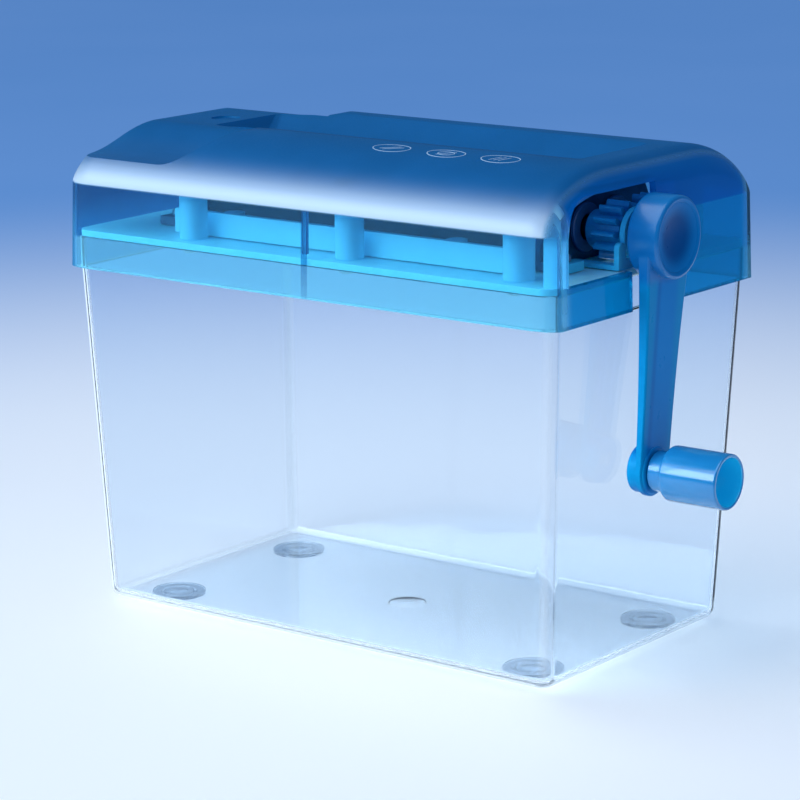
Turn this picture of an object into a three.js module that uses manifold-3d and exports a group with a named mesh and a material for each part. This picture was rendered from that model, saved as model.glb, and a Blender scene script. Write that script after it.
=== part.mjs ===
// Hand-crank mini paper shredder. Millimetres, +Z up, floor at zero, crank on the +X end, front faces -Y.
import * as THREE from 'three';
import { mergeVertices, toCreasedNormals } from 'three/addons/utils/BufferGeometryUtils.js';
import Module from 'manifold-3d';

const wasm = await Module();
wasm.setup();

// Shared clearances
const GAP = 0.3;
const OVERSHOOT = 5;
const CREASE_ANGLE = 0.6;

// The crank stands out past the head, so the whole object is moved along X to centre its box
const FRAME_SHIFT_X = -14.5;

// Clear bin
const BIN_UNDERSIDE = 1.5;
const BIN_BOTTOM_HALF_X = 79.25;
const BIN_BOTTOM_HALF_Y = 44.1;
const BIN_TOP_HALF_X = 83.7;
const BIN_TOP_HALF_Y = 48.6;
const BIN_SHOULDER = 101.1;
const BIN_RIM_STEP = 0.4;
const BIN_RIM_TOP = 110.2;
const BIN_WALL = 1.8;
const BIN_CORNER = 4.5;
const BIN_BOTTOM_ROUND = 3.5;
const BIN_CORNER_STEPS = 5;
const BIN_ROUND_STEPS = 4;
const GATE_MARK_RADIUS = 5.5;
const GATE_MARK_DEPTH = 0.4;

// Feet
const FOOT_RADIUS = 8;
const FOOT_HEIGHT = 1.2;
const FOOT_X = 63.8;
const FOOT_Y = 28.4;
const FOOT_CHAMFER = 0.5;
const FOOT_DIMPLE_RADIUS = 2.4;
const FOOT_RING_INNER = 4.2;
const FOOT_RING_OUTER = 5.6;
const FOOT_RELIEF = 0.4;

// Head cover
const COVER_BOTTOM = 101.5;
const COVER_HALF_X = 86;
const COVER_HALF_Y = 50.85;
const COVER_DRAFT = 0.6;
const COVER_SHOULDER = 125.7;
const COVER_TOP = 141.8;
const COVER_FLAT_HALF_Y = 20;
const COVER_ROUND = 8.8;
const COVER_CORNER = 4;
const COVER_WALL = 2;
const COVER_ARC_STEPS = 9;
const COVER_END_STEPS = 5;

// Finger scoops and the platform between them, at the end away from the crank
const SCOOP_FLOOR = 133.3;
const SCOOP_FLAT_END_X = -54;
const SCOOP_RISE_END_X = -40.5;
const SCOOP_RISE_POWER = 2.4;
const SCOOP_WALL_FOOT_Y = 43;
const SCOOP_WALL_HEAD_Y = 16;
const SCOOP_WALL_SKEW = 1.35;
const SCOOP_STEPS = 8;
const PLATFORM_TOP = 140.6;
const PLATFORM_END_X = -58;
const RAMP_END_X = -30;
const RAMP_STEPS = 6;
const DIMPLE_X = -66;
const DIMPLE_Y = -1;
const DIMPLE_RADIUS = 4.5;
const DIMPLE_DEPTH = 0.6;

// Feed recess and slot
const RECESS_LEFT = -60;
const RECESS_RIGHT = 71;
const RECESS_HALF_Y = 17.5;
const RECESS_FLOOR = 136.2;
const RECESS_FLOOR_HALF_Y = 6;
const RECESS_END_SLOPE = 5;
const RECESS_CORNER = 2;
const RECESS_CORNER_STEPS = 3;
const SLOT_LEFT = -50;
const SLOT_RIGHT = 60;
const SLOT_HALF_Y = 2.6;

// Engraved ovals beside the slot
const OVAL_XS = [15.5, 34, 52];
const OVAL_Y = -27;
const OVAL_HALF_X = 6;
const OVAL_HALF_Y = 3.5;
const OVAL_LINE = 0.7;
const OVAL_DEPTH = 0.3;
const OVAL_STEPS = 20;

// Opening in the crank end of the cover, with the notch that lets the shaft in from below
const OPENING_LEFT = -44;
const OPENING_RIGHT = -2;
const OPENING_TOP = 135.2;
const OPENING_BOTTOM = 112.3;
const OPENING_CORNER = 11;
const OPENING_STEPS = 6;
const OPENING_FLANGE_LEFT = 78.5;
const OPENING_FLANGE_WALL = 1.2;
const NOTCH_HALF_WIDTH = 7;
const NOTCH_TOP = 129;

// Stiffening ribs inside the cover
const RIB_X = 2;
const RIB_HALF_WIDTH = 0.85;
const RIB_BOTTOM = 113.6;
const RIB_DEPTH = 1.6;

// Screw bosses that hang from the cover, three along each long side
const BOSS_XS = [-44, 12, 68];
const BOSS_Y = 41;
const BOSS_RADIUS = 4;
const BOSS_HOLE_RADIUS = 1.7;
const BOSS_HOLE_TOP = 121;

// Deck plate
const DECK_BOTTOM = 110.5;
const DECK_TOP = 112.3;
const DECK_HALF_X = 83.2;
const DECK_HALF_Y = 48;
const DECK_CORNER = 4.5;
const CHUTE_LEFT = -53;
const CHUTE_RIGHT = 60;
const CHUTE_HALF_Y = 14;
const GEAR_WINDOW_LEFT = 70.5;
const GEAR_WINDOW_RIGHT = 80.4;
const GEAR_WINDOW_REACH = 5.5;

// Rollers and gears
const SHAFT_Z = 121.6;
const FRONT_SHAFT_Y = -7;
const BACK_SHAFT_Y = 7.4;
const NIP_Y = (FRONT_SHAFT_Y + BACK_SHAFT_Y) / 2;
const DISC_RADIUS = 7.7;
const DISC_WIDTH = 5.8;
const DISC_PITCH = 12.7;
const DISC_COUNT = 9;
const DISC_START = -53.5;
const ROLLER_CORE_RADIUS = 6.2;
const ROLLER_STEPS = 20;
const JOURNAL_RADIUS = 3.2;
const JOURNAL_LEFT = -62.2;
const RING_GROOVE_LEFT = -61.4;
const RING_GROOVE_RIGHT = -60;
const RING_GROOVE_RADIUS = 2.4;
const DRIVE_FLAT = 2.4;
const DRIVE_FLAT_START = 69;
const FRONT_SHAFT_END = 90.3;
const BACK_SHAFT_END = 81.2;
const GEAR_TEETH = 12;
const GEAR_MODULE = 1.2;
const GEAR_PITCH_RADIUS = GEAR_TEETH * GEAR_MODULE / 2;
const GEAR_OUTER_RADIUS = GEAR_PITCH_RADIUS + 0.9 * GEAR_MODULE;
const GEAR_ROOT_RADIUS = GEAR_PITCH_RADIUS - 1.3 * GEAR_MODULE;
const GEAR_PRESSURE_ANGLE = 20 * Math.PI / 180;
const GEAR_BACKLASH = 0.3;
const GEAR_LEFT = 73.2;
const GEAR_RIGHT = 80.3;
const GEAR_COLLAR_LEFT = 69.4;
const GEAR_COLLAR_RADIUS = 5.2;
const FLANK_STEPS = 2;

// Side plates and gear frame
const PLATE_THICKNESS = 3;
const LEFT_PLATE_X = -58;
const RIGHT_PLATE_X = 62.5;
const PLATE_BOTTOM = DECK_TOP + GAP;
const PLATE_TOP = 131.3;
const PLATE_FOOT_HALF_Y = 29.5;
const PLATE_FOOT_TOP = 118.8;
const PLATE_HEAD_HALF_Y = 22.5;
const PAD_LENGTH = 9;
const PAD_WIDTH = 9;
const PAD_HEIGHT = 2.5;
const BUSH_BORE = JOURNAL_RADIUS + GAP;
const BUSH_BODY = 5.2;
const BUSH_FLANGE = 6.8;
const BUSH_FLANGE_WIDTH = 1;
const BRACKET_LEFT = 81.5;
const BRACKET_RIGHT = 83.1;
const BRACKET_RING_RADIUS = 7;
const BRACKET_STEM_HALF_Y = 4;
const BRACKET_BASE_TOP = 115.4;
const POST_OFFSET_Y = 15.1;
const POST_HALF_Y = 1.7;
const POST_TOP = 120;
const RUNNER_TOP = 113.9;
const OUTER_BUSH_BODY = 4.6;

// Housing walls in front of and behind the rollers
const HOUSING_LEFT = -55;
const HOUSING_RIGHT = 61.5;
const HOUSING_HALF_Y = 36.5;
const HOUSING_CENTRE_Y = 0;
const HOUSING_WALL = 2;
const HOUSING_TOP = 119.5;
const HOUSING_RETURN = 5;
const HOUSING_SCREW_XS = [-36, 42];
const HOUSING_SCREW_RADIUS = 3;
const HOUSING_SCREW_HALF_Y = 32.6;

// Stripper combs on their tie rods
const ROD_RADIUS = 2;
const ROD_OFFSET_Y = 19.3;
const ROD_Z = 116.8;
const ROD_LEFT = -59;
const ROD_RIGHT = 66.5;
const COMB_LEFT = -54.4;
const COMB_RIGHT = 61.9;
const COMB_HALF = 3;
const FINGER_WIDTH = 5;
const FINGER_REACH = 3;
const FINGER_HEIGHT = 2.6;

// Feed guide under the slot
const GUIDE_LEFT = -58;
const GUIDE_RIGHT = 65.5;
const GUIDE_HALF_Y = 13;
const GUIDE_BOTTOM = 132.4;
const GUIDE_TOP = 133.6;
const LIP_BOTTOM = 130.9;
const LIP_WALL = 0.8;

// Crank
const CRANK_TILT = -3.6 * Math.PI / 180;
const CRANK_RADIUS = 63.5;
const HUB_RADIUS = 11.3;
const HUB_BACK = 86.3;
const HUB_FRONT = 96;
const HUB_RIM = 1.9;
const HUB_ROUND = 1;
const HUB_STEPS = 32;
const HUB_POCKET_RADIUS = 9.4;
const HUB_POCKET_BACK = 90.6;
const CAP_RADIUS = 9.1;
const CAP_BACK = 93;
const CAP_FRONT = 95.6;
const CAP_DISH = 1.5;
const ARM_BACK = 90;
const ARM_FRONT = 93.4;
const ARM_SKIN = 1.6;
const ARM_FOOT_HALF = 7.2;
const ARM_FLARE = 3.7;
const ARM_FLARE_STEPS = 6;
const ARM_EDGE_ROUND = 0.8;
const ARM_SLIMMING = 0.5;
const ARM_RIB_HALF = 0.7;
const KNOB_BOSS_RADIUS = 6.6;
const KNOB_BOSS_BACK = 86.6;
const KNOB_BOSS_FRONT = 92.2;

// Knob
const KNOB_BACK = 92.6;
const KNOB_NECK_RADIUS = 5.6;
const KNOB_RADIUS = 7.65;
const KNOB_STEP_X = 97.2;
const KNOB_STEP_ROUND = 0.6;
const KNOB_FRONT = 115;
const KNOB_WALL = 1.1;
const KNOB_FLOOR = 98.4;
const KNOB_SLEEVE_RADIUS = 4.4;
const KNOB_SLEEVE_FRONT = 102;
const KNOB_STEPS = 28;
const PIN_RADIUS = 2;
const PIN_BACK = 87.4;
const PIN_HEAD_RADIUS = 3.4;
const PIN_HEAD_BACK = 103.2;
const PIN_HEAD_FRONT = 105;
const WASHER_BACK = 102.3;
const WASHER_FRONT = 102.9;
const WASHER_RADIUS = 4;

// Screws
const SCREW_SHANK = 1.4;
const SCREW_HEAD = 2.8;
const SCREW_HEAD_HEIGHT = 1.6;
const SCREW_SOCKET_RADIUS = 1.2;
const SCREW_SOCKET_DEPTH = 0.8;
const SCREW_STEPS = 10;
const SCREW_HOLE = SCREW_SHANK + GAP;
const COVER_SCREW_TIP = 119;
const HOUSING_SCREW_TIP = 118;
const PLATE_SCREW_TIP = 108.6;
const ROUND_STEPS = 18;

const X_AXIS = new THREE.Vector3(1, 0, 0);
const Y_AXIS = new THREE.Vector3(0, 1, 0);
const Z_AXIS = new THREE.Vector3(0, 0, 1);
const NEG_Y = new THREE.Vector3(0, -1, 0);
const NEG_Z = new THREE.Vector3(0, 0, -1);

// Welds a geometry, drops collapsed triangles and turns the faces outwards
function welded(source) {
  const bare = new THREE.BufferGeometry();
  bare.setAttribute('position', source.getAttribute('position').clone());
  if (source.index) {
    bare.setIndex(source.index.clone());
  }
  const merged = mergeVertices(bare, 1e-4);
  const index = merged.index.array;
  const position = merged.getAttribute('position');
  const kept = [];
  let volume = 0;
  const a = new THREE.Vector3();
  const b = new THREE.Vector3();
  const c = new THREE.Vector3();
  for (let i = 0; i < index.length; i += 3) {
    const [p, q, r] = [index[i], index[i + 1], index[i + 2]];
    if (p !== q && q !== r && r !== p) {
      kept.push(p, q, r);
      a.fromBufferAttribute(position, p);
      b.fromBufferAttribute(position, q);
      c.fromBufferAttribute(position, r);
      volume += a.dot(b.cross(c));
    }
  }
  if (volume < 0) {
    for (let i = 0; i < kept.length; i += 3) {
      [kept[i + 1], kept[i + 2]] = [kept[i + 2], kept[i + 1]];
    }
  }
  merged.setIndex(kept);
  return merged;
}

function solid(source) {
  const geometry = welded(source);
  const mesh = new wasm.Mesh({
    numProp: 3,
    vertProperties: new Float32Array(geometry.getAttribute('position').array),
    triVerts: new Uint32Array(geometry.index.array),
  });
  return new wasm.Manifold(mesh);
}

function toGeometry(manifold) {
  const mesh = manifold.getMesh();
  const geometry = new THREE.BufferGeometry();
  geometry.setAttribute('position', new THREE.BufferAttribute(new Float32Array(mesh.vertProperties), 3));
  geometry.setIndex(new THREE.BufferAttribute(new Uint32Array(mesh.triVerts), 1));
  return geometry;
}

function addAll(first, others) {
  return others.reduce((sum, next) => sum.add(next), first);
}

function subtractAll(first, others) {
  return others.reduce((rest, next) => rest.subtract(next), first);
}

// Skins a row of equal-length rings, then closes both ends
function loft(rings) {
  const count = rings[0].length;
  const positions = [];
  const index = [];
  rings.forEach((ring) => ring.forEach((point) => positions.push(...point)));
  for (let level = 0; level + 1 < rings.length; level += 1) {
    for (let i = 0; i < count; i += 1) {
      const next = (i + 1) % count;
      const low = level * count;
      const high = low + count;
      index.push(low + i, low + next, high + next);
      index.push(low + i, high + next, high + i);
    }
  }
  const last = (rings.length - 1) * count;
  for (let i = 1; i + 1 < count; i += 1) {
    index.push(0, i + 1, i);
    index.push(last, last + i, last + i + 1);
  }
  const geometry = new THREE.BufferGeometry();
  geometry.setAttribute('position', new THREE.Float32BufferAttribute(positions, 3));
  geometry.setIndex(index);
  return geometry;
}

function roundedRing(level, steps) {
  const { z, halfX, halfY, radius, x = 0, y = 0 } = level;
  const ring = [];
  const corners = [[1, 1], [-1, 1], [-1, -1], [1, -1]];
  corners.forEach(([signX, signY], corner) => {
    for (let i = 0; i <= steps; i += 1) {
      const angle = (corner + i / steps) * Math.PI / 2;
      const px = x + signX * (halfX - radius) + radius * Math.cos(angle);
      const py = y + signY * (halfY - radius) + radius * Math.sin(angle);
      ring.push([px, py, z]);
    }
  });
  return ring;
}

function roundedLoft(levels, steps) {
  return solid(loft(levels.map((level) => roundedRing(level, steps))));
}

function outline(points, holes = []) {
  const shape = new THREE.Shape(points.map(([u, v]) => new THREE.Vector2(u, v)));
  holes.forEach((hole) => {
    shape.holes.push(new THREE.Path(hole.map(([u, v]) => new THREE.Vector2(u, v))));
  });
  return shape;
}

function extrude(points, depth, holes) {
  return new THREE.ExtrudeGeometry(outline(points, holes), { depth, bevelEnabled: false, steps: 1 });
}

// Outline given as (y, z), run along X
function prismX(points, left, right, holes) {
  const place = new THREE.Matrix4().makeBasis(Y_AXIS, Z_AXIS, X_AXIS).setPosition(left, 0, 0);
  return solid(extrude(points, right - left, holes).applyMatrix4(place));
}

// Outline given as (x, z), run along Y
function prismY(points, front, back, holes) {
  const place = new THREE.Matrix4().makeBasis(X_AXIS, Z_AXIS, NEG_Y).setPosition(0, back, 0);
  return solid(extrude(points, back - front, holes).applyMatrix4(place));
}

// Outline given as (x, y), run along Z
function prismZ(points, bottom, top, holes) {
  return solid(extrude(points, top - bottom, holes).translate(0, 0, bottom));
}

function box(left, right, front, back, bottom, top) {
  return prismZ([[left, front], [right, front], [right, back], [left, back]], bottom, top);
}

function circle(u, v, radius, steps = ROUND_STEPS) {
  const points = [];
  for (let i = 0; i < steps; i += 1) {
    const angle = i * 2 * Math.PI / steps;
    points.push([u + radius * Math.cos(angle), v + radius * Math.sin(angle)]);
  }
  return points;
}

function revolve(profile, steps) {
  return new THREE.LatheGeometry(profile.map(([r, h]) => new THREE.Vector2(r, h)), steps);
}

// Profile given as (radius, x), turned about a line along X
function turnX(profile, y, z, steps = ROUND_STEPS) {
  const place = new THREE.Matrix4().makeBasis(Y_AXIS, X_AXIS, NEG_Z).setPosition(0, y, z);
  return solid(revolve(profile, steps).applyMatrix4(place));
}

// Profile given as (radius, z), turned about a line along Z
function turnZ(profile, x, y, steps = ROUND_STEPS) {
  const place = new THREE.Matrix4().makeBasis(X_AXIS, Z_AXIS, NEG_Y).setPosition(x, y, 0);
  return solid(revolve(profile, steps).applyMatrix4(place));
}

function rodX(radius, left, right, y, z, steps) {
  return turnX([[0, left], [radius, left], [radius, right], [0, right]], y, z, steps);
}

function rodZ(radius, bottom, top, x, y, steps) {
  return turnZ([[0, bottom], [radius, bottom], [radius, top], [0, top]], x, y, steps);
}

// Circle with one flat side, used for the shaft end and for the bores that fit it
function flattedCircle(y, z, radius, flat) {
  const start = Math.acos(flat / radius);
  const points = [];
  for (let i = 0; i <= ROUND_STEPS; i += 1) {
    const angle = start + i / ROUND_STEPS * (2 * Math.PI - 2 * start);
    points.push([y + radius * Math.sin(angle), z + radius * Math.cos(angle)]);
  }
  return points;
}

const paints = {
  clear: { color: 0xdfeaf5, roughness: 0.08, metalness: 0 },
  pad: { color: 0xc9d6e2, roughness: 0.25, metalness: 0 },
  blue: { color: 0x1f6fb8, roughness: 0.3, metalness: 0 },
  lightBlue: { color: 0x3fb4e6, roughness: 0.4, metalness: 0 },
  deepBlue: { color: 0x1763ad, roughness: 0.3, metalness: 0 },
  knobBlue: { color: 0x2f86d6, roughness: 0.25, metalness: 0 },
  darkSteel: { color: 0x24272b, roughness: 0.35, metalness: 0.9 },
  steel: { color: 0xa9adb2, roughness: 0.3, metalness: 1 },
  navy: { color: 0x16406e, roughness: 0.5, metalness: 0 },
  white: { color: 0xe4e8ea, roughness: 0.5, metalness: 0 },
};

const shredder = new THREE.Group();
shredder.name = 'hand_crank_paper_shredder';

function addPiece(name, manifold, paint) {
  const geometry = toCreasedNormals(toGeometry(manifold), CREASE_ANGLE);
  geometry.translate(FRAME_SHIFT_X, 0, 0);
  const mesh = new THREE.Mesh(geometry, new THREE.MeshStandardMaterial(paints[paint]));
  mesh.name = name;
  shredder.add(mesh);
}

// Bin: drafted tub with a stepped-in rim that the skirt of the head slides over
function binLevels(inset) {
  const levels = [];
  const growX = (BIN_TOP_HALF_X - BIN_BOTTOM_HALF_X) / (COVER_BOTTOM - BIN_UNDERSIDE);
  const growY = (BIN_TOP_HALF_Y - BIN_BOTTOM_HALF_Y) / (COVER_BOTTOM - BIN_UNDERSIDE);
  const round = BIN_BOTTOM_ROUND - inset;
  const addLevel = (z, extra, heightForSize) => {
    levels.push({
      z,
      halfX: BIN_BOTTOM_HALF_X + growX * (heightForSize - BIN_UNDERSIDE) - inset - extra,
      halfY: BIN_BOTTOM_HALF_Y + growY * (heightForSize - BIN_UNDERSIDE) - inset - extra,
      radius: BIN_CORNER - inset - extra,
    });
  };
  for (let i = 0; i <= BIN_ROUND_STEPS; i += 1) {
    const angle = i / BIN_ROUND_STEPS * Math.PI / 2;
    const z = BIN_UNDERSIDE + inset + round * (1 - Math.cos(angle));
    addLevel(z, round * (1 - Math.sin(angle)), z);
  }
  addLevel(BIN_SHOULDER, 0, BIN_SHOULDER);
  addLevel(BIN_SHOULDER + BIN_RIM_STEP, BIN_RIM_STEP, BIN_SHOULDER);
  addLevel(BIN_RIM_TOP + (inset > 0 ? OVERSHOOT : 0), BIN_RIM_STEP, BIN_SHOULDER);
  return levels;
}

function buildBin() {
  const outer = roundedLoft(binLevels(0), BIN_CORNER_STEPS);
  const inner = roundedLoft(binLevels(BIN_WALL), BIN_CORNER_STEPS);
  const gateMark = rodZ(GATE_MARK_RADIUS, 0, BIN_UNDERSIDE + GATE_MARK_DEPTH, 0, 0);
  return outer.subtract(inner).subtract(gateMark);
}

function buildFoot(x, y) {
  return turnZ([
    [0, FOOT_RELIEF],
    [FOOT_DIMPLE_RADIUS, FOOT_RELIEF],
    [FOOT_DIMPLE_RADIUS + FOOT_RELIEF, 0],
    [FOOT_RING_INNER, 0],
    [FOOT_RING_INNER + FOOT_RELIEF, FOOT_RELIEF],
    [FOOT_RING_OUTER - FOOT_RELIEF, FOOT_RELIEF],
    [FOOT_RING_OUTER, 0],
    [FOOT_RADIUS - FOOT_CHAMFER, 0],
    [FOOT_RADIUS, FOOT_CHAMFER],
    [FOOT_RADIUS, FOOT_HEIGHT],
    [0, FOOT_HEIGHT],
  ], x, y);
}

// Head cover: an arched section run along X, drawn in at both ends so that every edge is round
function archSection(insetAcross, insetUp, bottom) {
  const reach = COVER_HALF_Y - COVER_DRAFT - COVER_FLAT_HALF_Y;
  const rise = COVER_TOP - COVER_SHOULDER;
  const half = [[COVER_HALF_Y - insetAcross, bottom]];
  for (let i = 0; i <= COVER_ARC_STEPS; i += 1) {
    const angle = i / COVER_ARC_STEPS * Math.PI / 2;
    const normal = new THREE.Vector2(rise * Math.cos(angle), reach * Math.sin(angle)).normalize();
    const y = COVER_FLAT_HALF_Y + reach * Math.cos(angle) - insetAcross * normal.x;
    const z = COVER_SHOULDER + rise * Math.sin(angle) - insetUp * normal.y;
    half.push([y, z]);
  }
  const mirrored = half.map(([y, z]) => [-y, z]).reverse();
  return [...half, ...mirrored];
}

function archSolid(inset, bottom) {
  const round = COVER_ROUND - inset;
  const corner = COVER_CORNER - inset;
  const straightEnd = COVER_HALF_X - COVER_ROUND;
  const stations = [];
  for (let i = 0; i <= COVER_END_STEPS; i += 1) {
    const angle = i / COVER_END_STEPS * Math.PI / 2;
    const drawnIn = 1 - Math.cos(angle);
    stations.push([straightEnd + round * Math.sin(angle), inset + corner * drawnIn, inset + round * drawnIn]);
  }
  const mirrored = stations.map(([x, across, up]) => [-x, across, up]).reverse();
  const rings = [...mirrored, ...stations].map(([x, across, up]) => (
    archSection(across, up, bottom).map(([y, z]) => {
      const lean = 1 - COVER_DRAFT / COVER_HALF_X * (z - COVER_BOTTOM) / (COVER_SHOULDER - COVER_BOTTOM);
      return [x * lean, y, z];
    })
  ));
  return solid(loft(rings));
}

function smoothStep(t) {
  return t * t * (3 - 2 * t);
}

// Scoop: a flat floor with a hollow rise at its inner end and an S-shaped wall behind it
function scoopSolid(side, thicken) {
  const top = COVER_TOP + OVERSHOOT;
  const left = -COVER_HALF_X - OVERSHOOT;
  const floor = SCOOP_FLOOR - thicken;
  const riseAlong = COVER_TOP - SCOOP_FLOOR;
  const riseAcross = PLATFORM_TOP - SCOOP_FLOOR;
  const along = [[left, top], [left, floor], [SCOOP_FLAT_END_X + thicken, floor]];
  const across = [[-COVER_HALF_Y - OVERSHOOT, top], [-COVER_HALF_Y - OVERSHOOT, floor]];
  across.push([-SCOOP_WALL_FOOT_Y + thicken, floor]);
  for (let i = 1; i <= SCOOP_STEPS; i += 1) {
    const t = i / SCOOP_STEPS;
    const x = SCOOP_FLAT_END_X + thicken + t * (SCOOP_RISE_END_X - SCOOP_FLAT_END_X);
    const y = -SCOOP_WALL_FOOT_Y + thicken + t * (SCOOP_WALL_FOOT_Y - SCOOP_WALL_HEAD_Y);
    along.push([x, floor + riseAlong * t ** SCOOP_RISE_POWER]);
    across.push([y, floor + riseAcross * smoothStep(t ** SCOOP_WALL_SKEW)]);
  }
  along.push([SCOOP_RISE_END_X + thicken, top]);
  across.push([-SCOOP_WALL_HEAD_Y + thicken, top]);
  const turned = side > 0 ? across.map(([y, z]) => [-y, z]) : across;
  const front = -COVER_HALF_Y - OVERSHOOT;
  const run = prismY(along, front, -front);
  return run.intersect(prismX(turned, left, SCOOP_RISE_END_X + OVERSHOOT));
}

function recessSolid(thicken) {
  const middle = (RECESS_LEFT + RECESS_RIGHT) / 2;
  const halfX = (RECESS_RIGHT - RECESS_LEFT) / 2;
  const slopeY = (RECESS_HALF_Y - RECESS_FLOOR_HALF_Y) / (COVER_TOP - RECESS_FLOOR);
  const slopeX = RECESS_END_SLOPE / (COVER_TOP - RECESS_FLOOR);
  const level = (z) => ({
    z: z - thicken,
    halfX: halfX - slopeX * (COVER_TOP - z) + thicken,
    halfY: RECESS_HALF_Y - slopeY * (COVER_TOP - z) + thicken,
    radius: RECESS_CORNER,
    x: middle,
  });
  const raised = level(COVER_TOP);
  const levels = [level(RECESS_FLOOR), raised, { ...raised, z: COVER_TOP + OVERSHOOT }];
  return roundedLoft(levels, RECESS_CORNER_STEPS);
}

// Everything above the low platform and above the ramp that leads from it up to the flat top
function platformSolid(thicken) {
  const left = -COVER_HALF_X - OVERSHOOT;
  const above = COVER_TOP + OVERSHOOT;
  const points = [[RAMP_END_X, above], [left, above], [left, PLATFORM_TOP - thicken]];
  for (let i = 0; i <= RAMP_STEPS; i += 1) {
    const t = i / RAMP_STEPS;
    const x = PLATFORM_END_X + t * (RAMP_END_X - PLATFORM_END_X);
    points.push([x, PLATFORM_TOP + (COVER_TOP - PLATFORM_TOP) * smoothStep(t) - thicken]);
  }
  return prismY(points, -COVER_HALF_Y, COVER_HALF_Y);
}

function ovalCut(x) {
  const ring = (grow) => {
    const points = [];
    for (let i = 0; i < OVAL_STEPS; i += 1) {
      const angle = i * 2 * Math.PI / OVAL_STEPS;
      const px = x + (OVAL_HALF_X + grow) * Math.cos(angle);
      points.push([px, OVAL_Y + (OVAL_HALF_Y + grow) * Math.sin(angle)]);
    }
    return points;
  };
  return prismZ(ring(0), COVER_SHOULDER, COVER_TOP + OVERSHOOT, [ring(-OVAL_LINE)]);
}

// Round-cornered outline of the opening, grown outwards along its left side and top
function openingOutline(grow) {
  const corner = OPENING_CORNER + grow;
  const points = [[OPENING_RIGHT, OPENING_BOTTOM], [OPENING_RIGHT, OPENING_TOP + grow]];
  for (let i = 0; i <= OPENING_STEPS; i += 1) {
    const angle = (1 + i / OPENING_STEPS) * Math.PI / 2;
    const y = OPENING_LEFT + OPENING_CORNER + corner * Math.cos(angle);
    points.push([y, OPENING_TOP - OPENING_CORNER + corner * Math.sin(angle)]);
  }
  points.push([OPENING_LEFT - grow, OPENING_BOTTOM]);
  return points;
}

// Flange that runs inwards from the left side and the top of the opening
function openingFlange() {
  const right = COVER_HALF_X - COVER_WALL;
  const outside = prismX(openingOutline(OPENING_FLANGE_WALL), OPENING_FLANGE_LEFT, right);
  const inside = prismX(openingOutline(0), OPENING_FLANGE_LEFT - 1, right + 1);
  return outside.subtract(inside);
}

function openingCut() {
  const wallInside = COVER_HALF_X - COVER_WALL - 2 * COVER_DRAFT;
  const outside = COVER_HALF_X + OVERSHOOT;
  const opening = prismX(openingOutline(0), wallInside, outside);
  const left = FRONT_SHAFT_Y - NOTCH_HALF_WIDTH;
  const right = FRONT_SHAFT_Y + NOTCH_HALF_WIDTH;
  const notch = [[left, COVER_BOTTOM - OVERSHOOT], [right, COVER_BOTTOM - OVERSHOOT]];
  for (let i = 0; i <= OPENING_STEPS; i += 1) {
    const angle = i / OPENING_STEPS * Math.PI;
    const y = FRONT_SHAFT_Y + NOTCH_HALF_WIDTH * Math.cos(angle);
    notch.push([y, NOTCH_TOP - NOTCH_HALF_WIDTH + NOTCH_HALF_WIDTH * Math.sin(angle)]);
  }
  return opening.add(prismX(notch, wallInside, outside));
}

function buildCover() {
  const outerBlank = archSolid(0, COVER_BOTTOM);
  const hollows = (thicken) => [
    scoopSolid(-1, thicken),
    scoopSolid(1, thicken),
    recessSolid(thicken),
    platformSolid(thicken),
  ];
  const outer = subtractAll(outerBlank, hollows(0));
  const inner = subtractAll(archSolid(COVER_WALL, COVER_BOTTOM - OVERSHOOT), hollows(COVER_WALL));
  const additions = [];
  const cuts = [];
  BOSS_XS.forEach((x) => {
    [-BOSS_Y, BOSS_Y].forEach((y) => {
      const boss = rodZ(BOSS_RADIUS, DECK_TOP + GAP, COVER_TOP, x, y);
      additions.push(boss.intersect(outer));
      cuts.push(rodZ(BOSS_HOLE_RADIUS, DECK_TOP - OVERSHOOT, BOSS_HOLE_TOP, x, y, SCREW_STEPS));
    });
  });
  [-1, 1].forEach((side) => {
    const wallY = side * (COVER_HALF_Y - COVER_WALL / 2);
    const tipY = side * (COVER_HALF_Y - COVER_WALL - RIB_DEPTH);
    const front = Math.min(wallY, tipY);
    const back = Math.max(wallY, tipY);
    const rib = box(RIB_X - RIB_HALF_WIDTH, RIB_X + RIB_HALF_WIDTH, front, back, RIB_BOTTOM, COVER_TOP);
    additions.push(rib.intersect(outer));
  });
  additions.push(openingFlange().intersect(outer));
  const shell = addAll(outer.subtract(inner), additions);
  const slotY = [NIP_Y - SLOT_HALF_Y, NIP_Y + SLOT_HALF_Y];
  cuts.push(box(SLOT_LEFT, SLOT_RIGHT, slotY[0], slotY[1], SHAFT_Z, COVER_TOP));
  cuts.push(openingCut());
  cuts.push(rodZ(DIMPLE_RADIUS, PLATFORM_TOP - DIMPLE_DEPTH, COVER_TOP, DIMPLE_X, DIMPLE_Y));
  const engraveBed = archSolid(OVAL_DEPTH, COVER_BOTTOM);
  OVAL_XS.forEach((x) => cuts.push(ovalCut(x).subtract(engraveBed)));
  return subtractAll(shell, cuts);
}

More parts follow.
